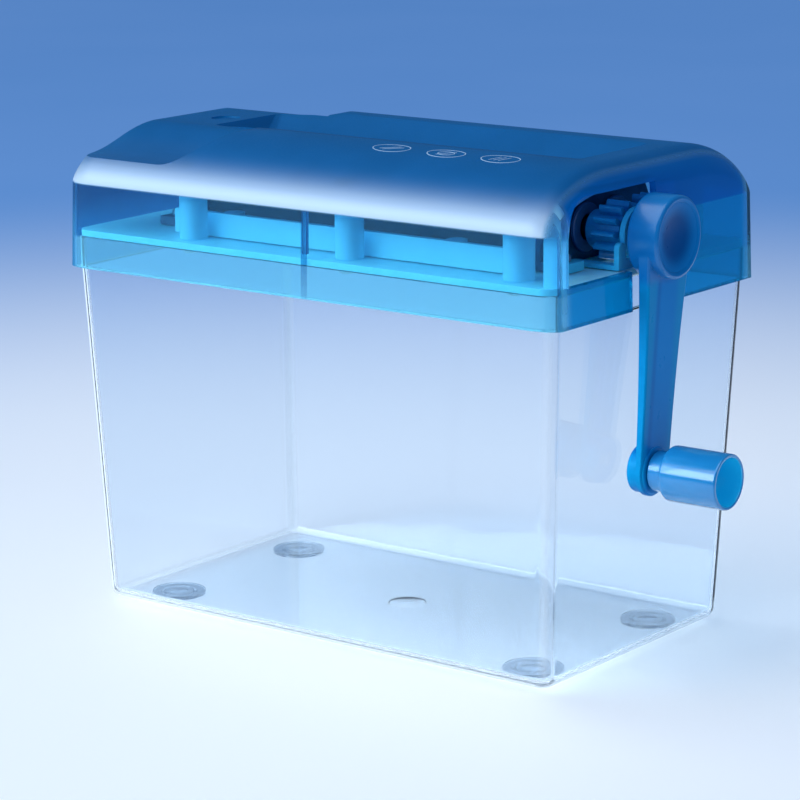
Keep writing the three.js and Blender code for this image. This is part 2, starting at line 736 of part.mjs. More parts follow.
// Deck: flat plate on the bin rim with the shred chute, the gear window and every screw hole
function buildDeck() {
  const level = (z) => ({ z, halfX: DECK_HALF_X, halfY: DECK_HALF_Y, radius: DECK_CORNER });
  const plate = roundedLoft([level(DECK_BOTTOM), level(DECK_TOP)], BIN_CORNER_STEPS);
  const low = DECK_BOTTOM - 1;
  const high = DECK_TOP + 1;
  const windowFront = FRONT_SHAFT_Y - GEAR_WINDOW_REACH;
  const windowBack = BACK_SHAFT_Y + GEAR_WINDOW_REACH;
  const notchFront = FRONT_SHAFT_Y - NOTCH_HALF_WIDTH;
  const notchBack = FRONT_SHAFT_Y + NOTCH_HALF_WIDTH;
  const cuts = [
    box(CHUTE_LEFT, CHUTE_RIGHT, NIP_Y - CHUTE_HALF_Y, NIP_Y + CHUTE_HALF_Y, low, high),
    box(GEAR_WINDOW_LEFT, GEAR_WINDOW_RIGHT, windowFront, windowBack, low, high),
    box(BRACKET_RIGHT + GAP - COVER_WALL / 2, DECK_HALF_X + 1, notchFront, notchBack, low, high),
  ];
  coverScrewPlaces().forEach(([x, y]) => cuts.push(rodZ(SCREW_HOLE, low, high, x, y, SCREW_STEPS)));
  housingScrewPlaces().forEach(([x, y]) => cuts.push(rodZ(SCREW_HOLE, low, high, x, y, SCREW_STEPS)));
  plateScrewPlaces().forEach(([x, y]) => cuts.push(rodZ(SCREW_HOLE, low, high, x, y, SCREW_STEPS)));
  return subtractAll(plate, cuts);
}

function coverScrewPlaces() {
  return BOSS_XS.flatMap((x) => [[x, -BOSS_Y], [x, BOSS_Y]]);
}

function housingScrewPlaces() {
  return HOUSING_SCREW_XS.flatMap((x) => [[x, -HOUSING_SCREW_HALF_Y], [x, HOUSING_SCREW_HALF_Y]]);
}

function plateScrewPlaces() {
  const reach = PLATE_FOOT_HALF_Y - PAD_WIDTH / 2;
  const leftX = LEFT_PLATE_X - PAD_LENGTH / 2;
  const rightX = RIGHT_PLATE_X + PLATE_THICKNESS + PAD_LENGTH / 2;
  return [leftX, rightX].flatMap((x) => [[x, NIP_Y - reach], [x, NIP_Y + reach]]);
}

function plateOutline() {
  return [
    [NIP_Y - PLATE_FOOT_HALF_Y, PLATE_BOTTOM],
    [NIP_Y + PLATE_FOOT_HALF_Y, PLATE_BOTTOM],
    [NIP_Y + PLATE_FOOT_HALF_Y, PLATE_FOOT_TOP],
    [NIP_Y + PLATE_HEAD_HALF_Y, PLATE_TOP],
    [NIP_Y - PLATE_HEAD_HALF_Y, PLATE_TOP],
    [NIP_Y - PLATE_FOOT_HALF_Y, PLATE_FOOT_TOP],
  ];
}

function plateWithPads(left, padLeft) {
  const holes = [
    circle(FRONT_SHAFT_Y, SHAFT_Z, BUSH_BODY + GAP),
    circle(BACK_SHAFT_Y, SHAFT_Z, BUSH_BODY + GAP),
    circle(NIP_Y - ROD_OFFSET_Y, ROD_Z, ROD_RADIUS + GAP, SCREW_STEPS),
    circle(NIP_Y + ROD_OFFSET_Y, ROD_Z, ROD_RADIUS + GAP, SCREW_STEPS),
  ];
  const plate = prismX(plateOutline(), left, left + PLATE_THICKNESS, holes);
  const pads = [-1, 1].map((side) => {
    const outerY = NIP_Y + side * PLATE_FOOT_HALF_Y;
    const innerY = outerY - side * PAD_WIDTH;
    const front = Math.min(outerY, innerY);
    const back = Math.max(outerY, innerY);
    const padTop = PLATE_BOTTOM + PAD_HEIGHT;
    return box(padLeft, padLeft + PAD_LENGTH + 1, front, back, PLATE_BOTTOM, padTop);
  });
  const holesDown = plateScrewPlaces().map(([x, y]) => (
    rodZ(SCREW_HOLE, PLATE_BOTTOM - 1, PLATE_TOP, x, y, SCREW_STEPS)
  ));
  return subtractAll(addAll(plate, pads), holesDown);
}

// Gear frame: right-hand side plate, two runners along the deck and the bearing cradle beyond the gears
function buildGearFrame() {
  const plate = plateWithPads(RIGHT_PLATE_X, RIGHT_PLATE_X + PLATE_THICKNESS - 1);
  const acrossBracket = (points) => prismX(points, BRACKET_LEFT, BRACKET_RIGHT);
  const runnerRight = BRACKET_LEFT + 1;
  const runnerLeft = RIGHT_PLATE_X + 1;
  const parts = [];
  [-1, 1].forEach((side) => {
    const middle = NIP_Y + side * POST_OFFSET_Y;
    const front = middle - POST_HALF_Y;
    const back = middle + POST_HALF_Y;
    parts.push(box(BRACKET_LEFT, BRACKET_RIGHT, front, back, PLATE_BOTTOM, POST_TOP - POST_HALF_Y));
    parts.push(acrossBracket(circle(middle, POST_TOP - POST_HALF_Y, POST_HALF_Y)));
    parts.push(box(runnerLeft, runnerRight, front, back, PLATE_BOTTOM, RUNNER_TOP));
  });
  const baseHalfY = POST_OFFSET_Y + POST_HALF_Y;
  const baseFront = NIP_Y - baseHalfY;
  parts.push(box(BRACKET_LEFT, BRACKET_RIGHT, baseFront, NIP_Y + baseHalfY, PLATE_BOTTOM, BRACKET_BASE_TOP));
  const stemFront = FRONT_SHAFT_Y - BRACKET_STEM_HALF_Y;
  const stemBack = FRONT_SHAFT_Y + BRACKET_STEM_HALF_Y;
  parts.push(box(BRACKET_LEFT, BRACKET_RIGHT, stemFront, stemBack, PLATE_BOTTOM, SHAFT_Z));
  parts.push(acrossBracket(circle(FRONT_SHAFT_Y, SHAFT_Z, BRACKET_RING_RADIUS, HUB_STEPS)));
  const bore = circle(FRONT_SHAFT_Y, SHAFT_Z, OUTER_BUSH_BODY + GAP);
  return addAll(plate, parts).subtract(prismX(bore, BRACKET_LEFT - 1, BRACKET_RIGHT + 1));
}

function buildLeftPlate() {
  return plateWithPads(LEFT_PLATE_X, LEFT_PLATE_X - PAD_LENGTH);
}

function bushIn(plateLeft, thickness, y, body, side) {
  const inner = side > 0 ? plateLeft - GAP : plateLeft + thickness + GAP;
  const flange = inner - side * BUSH_FLANGE_WIDTH;
  const outer = side > 0 ? plateLeft + thickness + GAP : plateLeft - GAP;
  return turnX([
    [BUSH_BORE, flange],
    [body + BUSH_FLANGE - BUSH_BODY, flange],
    [body + BUSH_FLANGE - BUSH_BODY, inner],
    [body, inner],
    [body, outer],
    [BUSH_BORE, outer],
    [BUSH_BORE, flange],
  ], y, SHAFT_Z);
}

function buildRoller(y, firstDisc, shaftEnd) {
  const profile = [
    [0, JOURNAL_LEFT],
    [JOURNAL_RADIUS, JOURNAL_LEFT],
    [JOURNAL_RADIUS, RING_GROOVE_LEFT],
    [RING_GROOVE_RADIUS, RING_GROOVE_LEFT],
    [RING_GROOVE_RADIUS, RING_GROOVE_RIGHT],
    [JOURNAL_RADIUS, RING_GROOVE_RIGHT],
    [JOURNAL_RADIUS, DISC_START - GAP],
    [ROLLER_CORE_RADIUS, DISC_START - GAP],
  ];
  for (let i = 0; i < DISC_COUNT; i += 1) {
    const left = firstDisc + i * DISC_PITCH;
    const right = left + DISC_WIDTH;
    profile.push([ROLLER_CORE_RADIUS, left], [DISC_RADIUS, left]);
    profile.push([DISC_RADIUS, right], [ROLLER_CORE_RADIUS, right]);
  }
  const coreEnd = DISC_START + DISC_COUNT * DISC_PITCH - GAP;
  profile.push([ROLLER_CORE_RADIUS, coreEnd], [JOURNAL_RADIUS, coreEnd]);
  profile.push([JOURNAL_RADIUS, shaftEnd], [0, shaftEnd]);
  const roller = turnX(profile, y, SHAFT_Z, ROLLER_STEPS);
  const flatZ = SHAFT_Z + DRIVE_FLAT;
  const flatTop = SHAFT_Z + DISC_RADIUS;
  const flat = box(DRIVE_FLAT_START, shaftEnd + 1, y - DISC_RADIUS, y + DISC_RADIUS, flatZ, flatTop);
  return roller.subtract(flat);
}

function involute(angle) {
  return Math.tan(angle) - angle;
}

function gearOutline(y, turn) {
  const base = GEAR_PITCH_RADIUS * Math.cos(GEAR_PRESSURE_ANGLE);
  const thickness = Math.PI * GEAR_MODULE / 2 - GEAR_BACKLASH;
  const halfAtPitch = thickness / 2 / GEAR_PITCH_RADIUS;
  const flank = [[GEAR_ROOT_RADIUS, halfAtPitch + involute(GEAR_PRESSURE_ANGLE)]];
  for (let i = 0; i <= FLANK_STEPS; i += 1) {
    const radius = base + (GEAR_OUTER_RADIUS - base) * i / FLANK_STEPS;
    const pressure = Math.acos(Math.min(1, base / radius));
    flank.push([radius, halfAtPitch + involute(GEAR_PRESSURE_ANGLE) - involute(pressure)]);
  }
  const points = [];
  for (let tooth = 0; tooth < GEAR_TEETH; tooth += 1) {
    const centre = turn + tooth * 2 * Math.PI / GEAR_TEETH;
    const place = ([radius, angle]) => {
      points.push([y + radius * Math.cos(centre + angle), SHAFT_Z + radius * Math.sin(centre + angle)]);
    };
    flank.forEach(([radius, half]) => place([radius, -half]));
    [...flank].reverse().forEach(([radius, half]) => place([radius, half]));
  }
  return points;
}

function buildGear(y, turn) {
  const bore = flattedCircle(y, SHAFT_Z, JOURNAL_RADIUS + GAP, DRIVE_FLAT + GAP);
  const toothed = prismX(gearOutline(y, turn), GEAR_LEFT, GEAR_RIGHT, [bore]);
  const collarRight = GEAR_LEFT + 1;
  const collar = prismX(circle(y, SHAFT_Z, GEAR_COLLAR_RADIUS), GEAR_COLLAR_LEFT, collarRight, [bore]);
  return toothed.add(collar);
}

function buildRetainingRing(y) {
  const left = RING_GROOVE_LEFT + GAP;
  const right = RING_GROOVE_RIGHT - GAP;
  const inner = RING_GROOVE_RADIUS + GAP;
  const outer = BUSH_BODY;
  const ring = turnX([[inner, left], [outer, left], [outer, right], [inner, right], [inner, left]], y, SHAFT_Z);
  const mouth = inner - GAP;
  return ring.subtract(box(left - 1, right + 1, y - mouth, y + mouth, SHAFT_Z - outer - 1, SHAFT_Z));
}

function buildHousing(side) {
  const outerY = side * HOUSING_HALF_Y + HOUSING_CENTRE_Y;
  const innerY = outerY - side * HOUSING_WALL;
  const returnY = outerY - side * (HOUSING_WALL + HOUSING_RETURN);
  const left = HOUSING_LEFT;
  const right = HOUSING_RIGHT;
  const wall = HOUSING_WALL;
  const plan = [
    [left, outerY], [right, outerY], [right, returnY], [right - wall, returnY],
    [right - wall, innerY], [left + wall, innerY], [left + wall, returnY], [left, returnY],
  ];
  const body = prismZ(plan, PLATE_BOTTOM, HOUSING_TOP);
  const posts = HOUSING_SCREW_XS.map((x) => (
    rodZ(HOUSING_SCREW_RADIUS, PLATE_BOTTOM, HOUSING_TOP, x, side * HOUSING_SCREW_HALF_Y)
  ));
  const holes = HOUSING_SCREW_XS.map((x) => (
    rodZ(SCREW_HOLE, PLATE_BOTTOM - 1, HOUSING_SCREW_TIP + GAP, x, side * HOUSING_SCREW_HALF_Y, SCREW_STEPS)
  ));
  return subtractAll(addAll(body, posts), holes);
}

function buildComb(side) {
  const rodY = NIP_Y + side * ROD_OFFSET_Y;
  const bar = [
    [rodY - COMB_HALF, ROD_Z - COMB_HALF],
    [rodY + COMB_HALF, ROD_Z - COMB_HALF],
    [rodY + COMB_HALF, ROD_Z + COMB_HALF],
    [rodY - COMB_HALF, ROD_Z + COMB_HALF],
  ];
  const bore = circle(rodY, ROD_Z, ROD_RADIUS + GAP, SCREW_STEPS);
  const body = prismX(bar, COMB_LEFT, COMB_RIGHT, [bore]);
  const firstGap = side < 0 ? DISC_START + DISC_WIDTH : DISC_START;
  const fingers = [];
  for (let i = 0; i < DISC_COUNT; i += 1) {
    const gapWidth = DISC_PITCH - DISC_WIDTH;
    const middle = firstGap + gapWidth / 2 + i * DISC_PITCH;
    const rootY = rodY - side * (COMB_HALF - 1);
    const tipY = rodY - side * (COMB_HALF + FINGER_REACH - GAP);
    const front = Math.min(rootY, tipY);
    const back = Math.max(rootY, tipY);
    const top = ROD_Z + COMB_HALF - GAP;
    const halfWidth = FINGER_WIDTH / 2;
    fingers.push(box(middle - halfWidth, middle + halfWidth, front, back, top - FINGER_HEIGHT, top));
  }
  return addAll(body, fingers);
}

function buildFeedGuide() {
  const slotFront = NIP_Y - SLOT_HALF_Y;
  const slotBack = NIP_Y + SLOT_HALF_Y;
  const front = NIP_Y - GUIDE_HALF_Y;
  const back = NIP_Y + GUIDE_HALF_Y;
  const plate = box(GUIDE_LEFT, GUIDE_RIGHT, front, back, GUIDE_BOTTOM, GUIDE_TOP);
  const lip = box(
    SLOT_LEFT - LIP_WALL,
    SLOT_RIGHT + LIP_WALL,
    slotFront - LIP_WALL,
    slotBack + LIP_WALL,
    LIP_BOTTOM,
    GUIDE_TOP,
  );
  const slot = box(SLOT_LEFT, SLOT_RIGHT, slotFront, slotBack, LIP_BOTTOM - 1, GUIDE_TOP + 1);
  return plate.add(lip).subtract(slot);
}

// Crank pieces are drawn hanging straight down from the shaft, then swung by the resting tilt
function tilted(manifold) {
  const geometry = toGeometry(manifold);
  geometry.translate(0, -FRONT_SHAFT_Y, -SHAFT_Z);
  geometry.rotateX(CRANK_TILT);
  geometry.translate(0, FRONT_SHAFT_Y, SHAFT_Z);
  return solid(geometry);
}

// The arm flares out towards the hub and ends in a half circle about the knob
function armOutline(trim) {
  const knobZ = SHAFT_Z - CRANK_RADIUS;
  const foot = ARM_FOOT_HALF - trim;
  const flare = [];
  for (let i = 0; i < ARM_FLARE_STEPS; i += 1) {
    const t = i / ARM_FLARE_STEPS;
    flare.push([foot + ARM_FLARE * (1 - t) ** 2, SHAFT_Z - CRANK_RADIUS * t]);
  }
  const left = flare.map(([half, z]) => [FRONT_SHAFT_Y - half, z]);
  const right = flare.map(([half, z]) => [FRONT_SHAFT_Y + half, z]).reverse();
  const points = [...left];
  for (let i = 0; i <= 2 * OPENING_STEPS; i += 1) {
    const angle = (1 + i / (2 * OPENING_STEPS)) * Math.PI;
    points.push([FRONT_SHAFT_Y + foot * Math.cos(angle), knobZ + foot * Math.sin(angle)]);
  }
  return [...points, ...right];
}

// The arm gets thinner towards the knob, with its back face kept flat
function slimmed(manifold) {
  const geometry = toGeometry(manifold);
  const position = geometry.getAttribute('position');
  for (let i = 0; i < position.count; i += 1) {
    const drop = (SHAFT_Z - position.getZ(i)) / CRANK_RADIUS;
    const depth = (position.getX(i) - ARM_BACK) * (1 - ARM_SLIMMING * drop);
    position.setX(i, ARM_BACK + depth);
  }
  return solid(geometry);
}

function buildCrankArm() {
  const knobZ = SHAFT_Z - CRANK_RADIUS;
  const rimInner = HUB_RADIUS - HUB_RIM;
  const hub = turnX([
    [0, HUB_BACK],
    [HUB_RADIUS - HUB_ROUND, HUB_BACK],
    [HUB_RADIUS, HUB_BACK + HUB_ROUND],
    [HUB_RADIUS, HUB_FRONT - HUB_ROUND],
    [HUB_RADIUS - 0.3 * HUB_ROUND, HUB_FRONT - 0.3 * HUB_ROUND],
    [HUB_RADIUS - HUB_ROUND, HUB_FRONT],
    [rimInner, CAP_FRONT],
    [0, CAP_FRONT],
  ], FRONT_SHAFT_Y, SHAFT_Z, HUB_STEPS);
  const edge = ARM_EDGE_ROUND;
  const blade = prismX(armOutline(0), ARM_BACK, ARM_FRONT - edge);
  const face = prismX(armOutline(edge), ARM_BACK, ARM_FRONT);
  const bevel = prismX(armOutline(edge / 2), ARM_BACK, ARM_FRONT - edge / 2);
  const channel = prismX(armOutline(ARM_SKIN), ARM_BACK - 1, ARM_FRONT - ARM_SKIN);
  const rib = [
    [FRONT_SHAFT_Y - ARM_RIB_HALF, knobZ], [FRONT_SHAFT_Y + ARM_RIB_HALF, knobZ],
    [FRONT_SHAFT_Y + ARM_RIB_HALF, SHAFT_Z], [FRONT_SHAFT_Y - ARM_RIB_HALF, SHAFT_Z],
  ];
  const spine = prismX(rib, ARM_BACK + 1, ARM_FRONT - ARM_SKIN / 2);
  const boss = rodX(KNOB_BOSS_RADIUS, KNOB_BOSS_BACK, KNOB_BOSS_FRONT, FRONT_SHAFT_Y, knobZ);
  const arm = slimmed(addAll(blade, [bevel, face]).subtract(channel).add(spine));
  const bore = flattedCircle(FRONT_SHAFT_Y, SHAFT_Z, JOURNAL_RADIUS + GAP, DRIVE_FLAT + GAP);
  const cuts = [
    tiltedBack(prismX(bore, HUB_BACK - 1, HUB_POCKET_BACK + 1)),
    rodX(HUB_POCKET_RADIUS, HUB_POCKET_BACK, HUB_FRONT + 1, FRONT_SHAFT_Y, SHAFT_Z, HUB_STEPS),
    rodX(PIN_RADIUS + GAP, KNOB_BOSS_BACK - 1, KNOB_FRONT, FRONT_SHAFT_Y, knobZ),
  ];
  return tilted(subtractAll(addAll(arm, [hub, boss]), cuts));
}

// The flat of the bore stays square to the shaft while the arm is tilted
function tiltedBack(manifold) {
  const geometry = toGeometry(manifold);
  geometry.translate(0, -FRONT_SHAFT_Y, -SHAFT_Z);
  geometry.rotateX(-CRANK_TILT);
  geometry.translate(0, FRONT_SHAFT_Y, SHAFT_Z);
  return solid(geometry);
}

function buildHubCap() {
  return turnX([
    [0, CAP_BACK],
    [CAP_RADIUS, CAP_BACK],
    [CAP_RADIUS, CAP_FRONT],
    [CAP_RADIUS - 1, CAP_FRONT],
    [CAP_RADIUS / 2, CAP_FRONT - CAP_DISH * 0.8],
    [0, CAP_FRONT - CAP_DISH],
  ], FRONT_SHAFT_Y, SHAFT_Z, HUB_STEPS);
}

function buildKnob() {
  const knobZ = SHAFT_Z - CRANK_RADIUS;
  const inside = KNOB_RADIUS - KNOB_WALL;
  const bore = PIN_RADIUS + GAP;
  return tilted(turnX([
    [bore, KNOB_BACK],
    [KNOB_NECK_RADIUS, KNOB_BACK],
    [KNOB_NECK_RADIUS, KNOB_STEP_X],
    [KNOB_RADIUS - KNOB_STEP_ROUND, KNOB_STEP_X],
    [KNOB_RADIUS, KNOB_STEP_X + KNOB_STEP_ROUND],
    [KNOB_RADIUS, KNOB_FRONT - KNOB_WALL / 2],
    [KNOB_RADIUS - KNOB_WALL / 3, KNOB_FRONT],
    [inside + KNOB_WALL / 4, KNOB_FRONT],
    [inside, KNOB_FRONT - KNOB_WALL / 2],
    [inside, KNOB_FLOOR],
    [KNOB_SLEEVE_RADIUS, KNOB_FLOOR],
    [KNOB_SLEEVE_RADIUS, KNOB_SLEEVE_FRONT],
    [bore, KNOB_SLEEVE_FRONT],
    [bore, KNOB_BACK],
  ], FRONT_SHAFT_Y, knobZ, KNOB_STEPS));
}

function buildKnobPin() {
  const knobZ = SHAFT_Z - CRANK_RADIUS;
  const pin = turnX([
    [0, PIN_BACK],
    [PIN_RADIUS, PIN_BACK],
    [PIN_RADIUS, PIN_HEAD_BACK],
    [PIN_HEAD_RADIUS, PIN_HEAD_BACK],
    [PIN_HEAD_RADIUS, PIN_HEAD_FRONT - GAP],
    [PIN_HEAD_RADIUS - GAP, PIN_HEAD_FRONT],
    [0, PIN_HEAD_FRONT],
  ], FRONT_SHAFT_Y, knobZ);
  const socket = circle(FRONT_SHAFT_Y, knobZ, SCREW_SOCKET_RADIUS, 6);
  return tilted(pin.subtract(prismX(socket, PIN_HEAD_FRONT - SCREW_SOCKET_DEPTH, PIN_HEAD_FRONT + 1)));
}

function buildKnobWasher() {
  const knobZ = SHAFT_Z - CRANK_RADIUS;
  const bore = PIN_RADIUS + GAP;
  return tilted(turnX([
    [bore, WASHER_BACK],
    [WASHER_RADIUS, WASHER_BACK],
    [WASHER_RADIUS, WASHER_FRONT],
    [bore, WASHER_FRONT],
    [bore, WASHER_BACK],
  ], FRONT_SHAFT_Y, knobZ));
}

function buildCrankScrew() {
  const headBack = HUB_POCKET_BACK + GAP;
  const headFront = headBack + SCREW_HEAD_HEIGHT;
  const tip = FRONT_SHAFT_END - 7;
  const headRadius = SCREW_HEAD + 2;
  const screw = turnX([
    [0, tip],
    [SCREW_SHANK, tip],
    [SCREW_SHANK, headBack],
    [headRadius, headBack],
    [headRadius, headFront - GAP],
    [headRadius - GAP, headFront],
    [0, headFront],
  ], FRONT_SHAFT_Y, SHAFT_Z);
  const socket = circle(FRONT_SHAFT_Y, SHAFT_Z, SCREW_SOCKET_RADIUS, 6);
  return screw.subtract(prismX(socket, headFront - SCREW_SOCKET_DEPTH, headFront + 1));
}

// Upright screw; the head is at headZ and the shank runs towards tipZ
function buildScrew(x, y, headZ, tipZ) {
  const away = Math.sign(headZ - tipZ);
  const headEnd = headZ + away * SCREW_HEAD_HEIGHT;
  const screw = turnZ([
    [0, tipZ],
    [SCREW_SHANK, tipZ],
    [SCREW_SHANK, headZ],
    [SCREW_HEAD, headZ],
    [SCREW_HEAD, headEnd - away * GAP],
    [SCREW_HEAD - GAP, headEnd],
    [0, headEnd],
  ], x, y, SCREW_STEPS);
  const socketEnd = headEnd - away * SCREW_SOCKET_DEPTH;
  const low = Math.min(socketEnd, headEnd + away);
  const high = Math.max(socketEnd, headEnd + away);
  return screw.subtract(prismZ(circle(x, y, SCREW_SOCKET_RADIUS, 6), low, high));
}

addPiece('bin', buildBin(), 'clear');
[['left', -FOOT_X], ['right', FOOT_X]].forEach(([sideName, x]) => {
  addPiece(`foot_front_${sideName}`, buildFoot(x, -FOOT_Y), 'pad');
  addPiece(`foot_back_${sideName}`, buildFoot(x, FOOT_Y), 'pad');
});

addPiece('top_cover', buildCover(), 'blue');
addPiece('deck_plate', buildDeck(), 'lightBlue');
addPiece('housing_front', buildHousing(-1), 'lightBlue');
addPiece('housing_back', buildHousing(1), 'lightBlue');
addPiece('side_plate_left', buildLeftPlate(), 'lightBlue');
addPiece('gear_frame', buildGearFrame(), 'lightBlue');
addPiece('feed_guide', buildFeedGuide(), 'lightBlue');

const holeLeft = FRONT_SHAFT_END - 8;
const holeRight = FRONT_SHAFT_END + 1;
const shaftHole = rodX(SCREW_SHANK + GAP, holeLeft, holeRight, FRONT_SHAFT_Y, SHAFT_Z, SCREW_STEPS);
const frontRoller = buildRoller(FRONT_SHAFT_Y, DISC_START, FRONT_SHAFT_END);
addPiece('cutter_roller_front', frontRoller.subtract(shaftHole), 'darkSteel');
const backDiscStart = DISC_START + DISC_PITCH / 2;
addPiece('cutter_roller_back', buildRoller(BACK_SHAFT_Y, backDiscStart, BACK_SHAFT_END), 'darkSteel');
addPiece('stripper_comb_front', buildComb(-1), 'white');
addPiece('stripper_comb_back', buildComb(1), 'white');
[['front', NIP_Y - ROD_OFFSET_Y], ['back', NIP_Y + ROD_OFFSET_Y]].forEach(([place, y]) => {
  addPiece(`tie_rod_${place}`, rodX(ROD_RADIUS, ROD_LEFT, ROD_RIGHT, y, ROD_Z, SCREW_STEPS), 'steel');
});

[['front', FRONT_SHAFT_Y], ['back', BACK_SHAFT_Y]].forEach(([place, y]) => {
  addPiece(`bush_left_${place}`, bushIn(LEFT_PLATE_X, PLATE_THICKNESS, y, BUSH_BODY, 1), 'navy');
  addPiece(`bush_right_${place}`, bushIn(RIGHT_PLATE_X, PLATE_THICKNESS, y, BUSH_BODY, -1), 'navy');
  addPiece(`retaining_ring_${place}`, buildRetainingRing(y), 'steel');
});
const bracketThickness = BRACKET_RIGHT - BRACKET_LEFT;
const outerBush = bushIn(BRACKET_LEFT, bracketThickness, FRONT_SHAFT_Y, OUTER_BUSH_BODY, -1);
addPiece('bush_outer', outerBush, 'navy');
addPiece('drive_gear', buildGear(FRONT_SHAFT_Y, 0), 'blue');
addPiece('driven_gear', buildGear(BACK_SHAFT_Y, Math.PI / GEAR_TEETH), 'blue');

addPiece('crank_arm', buildCrankArm(), 'deepBlue');
addPiece('crank_screw', buildCrankScrew(), 'steel');
addPiece('hub_cap', buildHubCap(), 'deepBlue');
addPiece('knob', buildKnob(), 'knobBlue');
addPiece('knob_pin', buildKnobPin(), 'steel');
addPiece('knob_washer', buildKnobWasher(), 'steel');

coverScrewPlaces().forEach(([x, y], i) => {
  addPiece(`cover_screw_${i + 1}`, buildScrew(x, y, DECK_BOTTOM - GAP, COVER_SCREW_TIP), 'steel');
});
housingScrewPlaces().forEach(([x, y], i) => {
  addPiece(`housing_screw_${i + 1}`, buildScrew(x, y, DECK_BOTTOM - GAP, HOUSING_SCREW_TIP), 'steel');
});
plateScrewPlaces().forEach(([x, y], i) => {
  const headZ = PLATE_BOTTOM + PAD_HEIGHT + GAP;
  addPiece(`plate_screw_${i + 1}`, buildScrew(x, y, headZ, PLATE_SCREW_TIP), 'steel');
});

export default shredder;
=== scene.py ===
import math

import bmesh
import bpy
from mathutils import Matrix, Vector


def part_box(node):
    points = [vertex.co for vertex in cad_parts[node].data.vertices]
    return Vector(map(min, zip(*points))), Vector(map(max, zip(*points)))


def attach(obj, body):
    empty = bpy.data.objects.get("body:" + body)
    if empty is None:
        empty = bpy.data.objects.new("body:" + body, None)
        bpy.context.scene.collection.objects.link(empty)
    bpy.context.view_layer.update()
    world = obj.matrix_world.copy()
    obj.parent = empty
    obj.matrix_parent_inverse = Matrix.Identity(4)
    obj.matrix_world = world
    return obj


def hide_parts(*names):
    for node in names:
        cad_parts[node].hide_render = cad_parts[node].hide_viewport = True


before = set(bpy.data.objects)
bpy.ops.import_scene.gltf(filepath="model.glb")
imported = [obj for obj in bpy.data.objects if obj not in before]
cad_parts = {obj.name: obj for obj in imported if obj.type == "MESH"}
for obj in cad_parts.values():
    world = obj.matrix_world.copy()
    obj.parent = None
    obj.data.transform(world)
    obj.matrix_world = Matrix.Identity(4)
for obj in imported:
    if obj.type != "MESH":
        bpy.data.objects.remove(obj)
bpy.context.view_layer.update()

# Everything below is drawn in millimetres about the middle of the head, then put into the frame's metres
MM = 0.001
cover_low, cover_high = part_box("top_cover")
FRAME_X = (cover_low[0] + cover_high[0]) / 2 / MM
GAP = 0.3
PAST = 5.0
SLIVER = 5e-7
BIN_UNDERSIDE = 1.5
BIN_LOW_HALF = (79.25, 44.1)
BIN_HIGH_HALF = (83.7, 48.6)
COVER_BOTTOM = 101.5
COVER_SHOULDER = 125.7
DECK = (110.5, 112.3)
SHAFT_Z = 121.6
FRONT_Y = -7.0
BACK_Y = 7.4
NIP_Y = (FRONT_Y + BACK_Y) / 2
CRANK_TILT = math.radians(-3.6)
CRANK_RADIUS = 63.5


# ---------------------------------------------------------------- mesh building
def mesh_piece(name, verts, faces):
    mesh = bpy.data.meshes.new(name)
    placed = [((x + FRAME_X) * MM, y * MM, z * MM) for x, y, z in verts]
    mesh.from_pydata(placed, [], faces)
    work = bmesh.new()
    work.from_mesh(mesh)
    bmesh.ops.remove_doubles(work, verts=work.verts, dist=1e-7)
    bmesh.ops.recalc_face_normals(work, faces=work.faces)
    work.to_mesh(mesh)
    work.free()
    piece = bpy.data.objects.new(name, mesh)
    bpy.context.scene.collection.objects.link(piece)
    return piece


def loft(rings, name="tool"):
    count = len(rings[0])
    verts = [point for ring in rings for point in ring]
    faces = []
    for level in range(len(rings) - 1):
        low = level * count
        for i in range(count):
            nxt = (i + 1) % count
            faces.append((low + i, low + nxt, low + count + nxt, low + count + i))
    faces.append(tuple(range(count)))
    faces.append(tuple(range(len(verts) - count, len(verts))))
    return mesh_piece(name, verts, faces)


def arc(steps, start=0, end=1):
    """Cosines and sines from one quarter turn to another."""
    angles = [(start + (end - start) * i / steps) * math.pi / 2 for i in range(steps + 1)]
    return [(math.cos(angle), math.sin(angle)) for angle in angles]


def rounded_ring(z, half_x, half_y, radius, steps, x=0.0, y=0.0):
    ring = []
    for corner, (sign_x, sign_y) in enumerate(((1, 1), (-1, 1), (-1, -1), (1, -1))):
        for cosine, sine in arc(steps, corner, corner + 1):
            px = x + sign_x * (half_x - radius) + radius * cosine
            py = y + sign_y * (half_y - radius) + radius * sine
            ring.append((px, py, z))
    return ring


def prism(points, low, high, place, name="tool"):
    return loft([[place(u, v, low) for u, v in points], [place(u, v, high) for u, v in points]], name)


def prism_x(points, low, high, name="tool"):
    return prism(points, low, high, lambda u, v, w: (w, u, v), name)


def prism_y(points, low, high, name="tool"):
    return prism(points, low, high, lambda u, v, w: (u, w, v), name)


def prism_z(points, low, high, name="tool"):
    return prism(points, low, high, lambda u, v, w: (u, v, w), name)


def block(x0, x1, y0, y1, z0, z1, name="tool"):
    return prism_z([(x0, y0), (x1, y0), (x1, y1), (x0, y1)], z0, z1, name)


def turned(profile, place, steps, name="tool"):
    """Turns a (radius, height) profile; it starts and ends on the axis, or closes on itself."""
    closed = profile[0] == profile[-1]
    rows = profile[:-1] if closed else profile
    verts = []
    for radius, height in rows:
        for i in range(steps):
            angle = i * 2 * math.pi / steps
            verts.append(place(radius * math.cos(angle), radius * math.sin(angle), height))
    faces = []
    last = len(rows) if closed else len(rows) - 1
    for row in range(last):
        low = row * steps
        high = (row + 1) % len(rows) * steps
        for i in range(steps):
            nxt = (i + 1) % steps
            faces.append((low + i, low + nxt, high + nxt, high + i))
    return mesh_piece(name, verts, faces)


def turn_x(profile, y, z, steps=64, name="tool"):
    return turned(profile, lambda u, v, w: (w, y + u, z + v), steps, name)


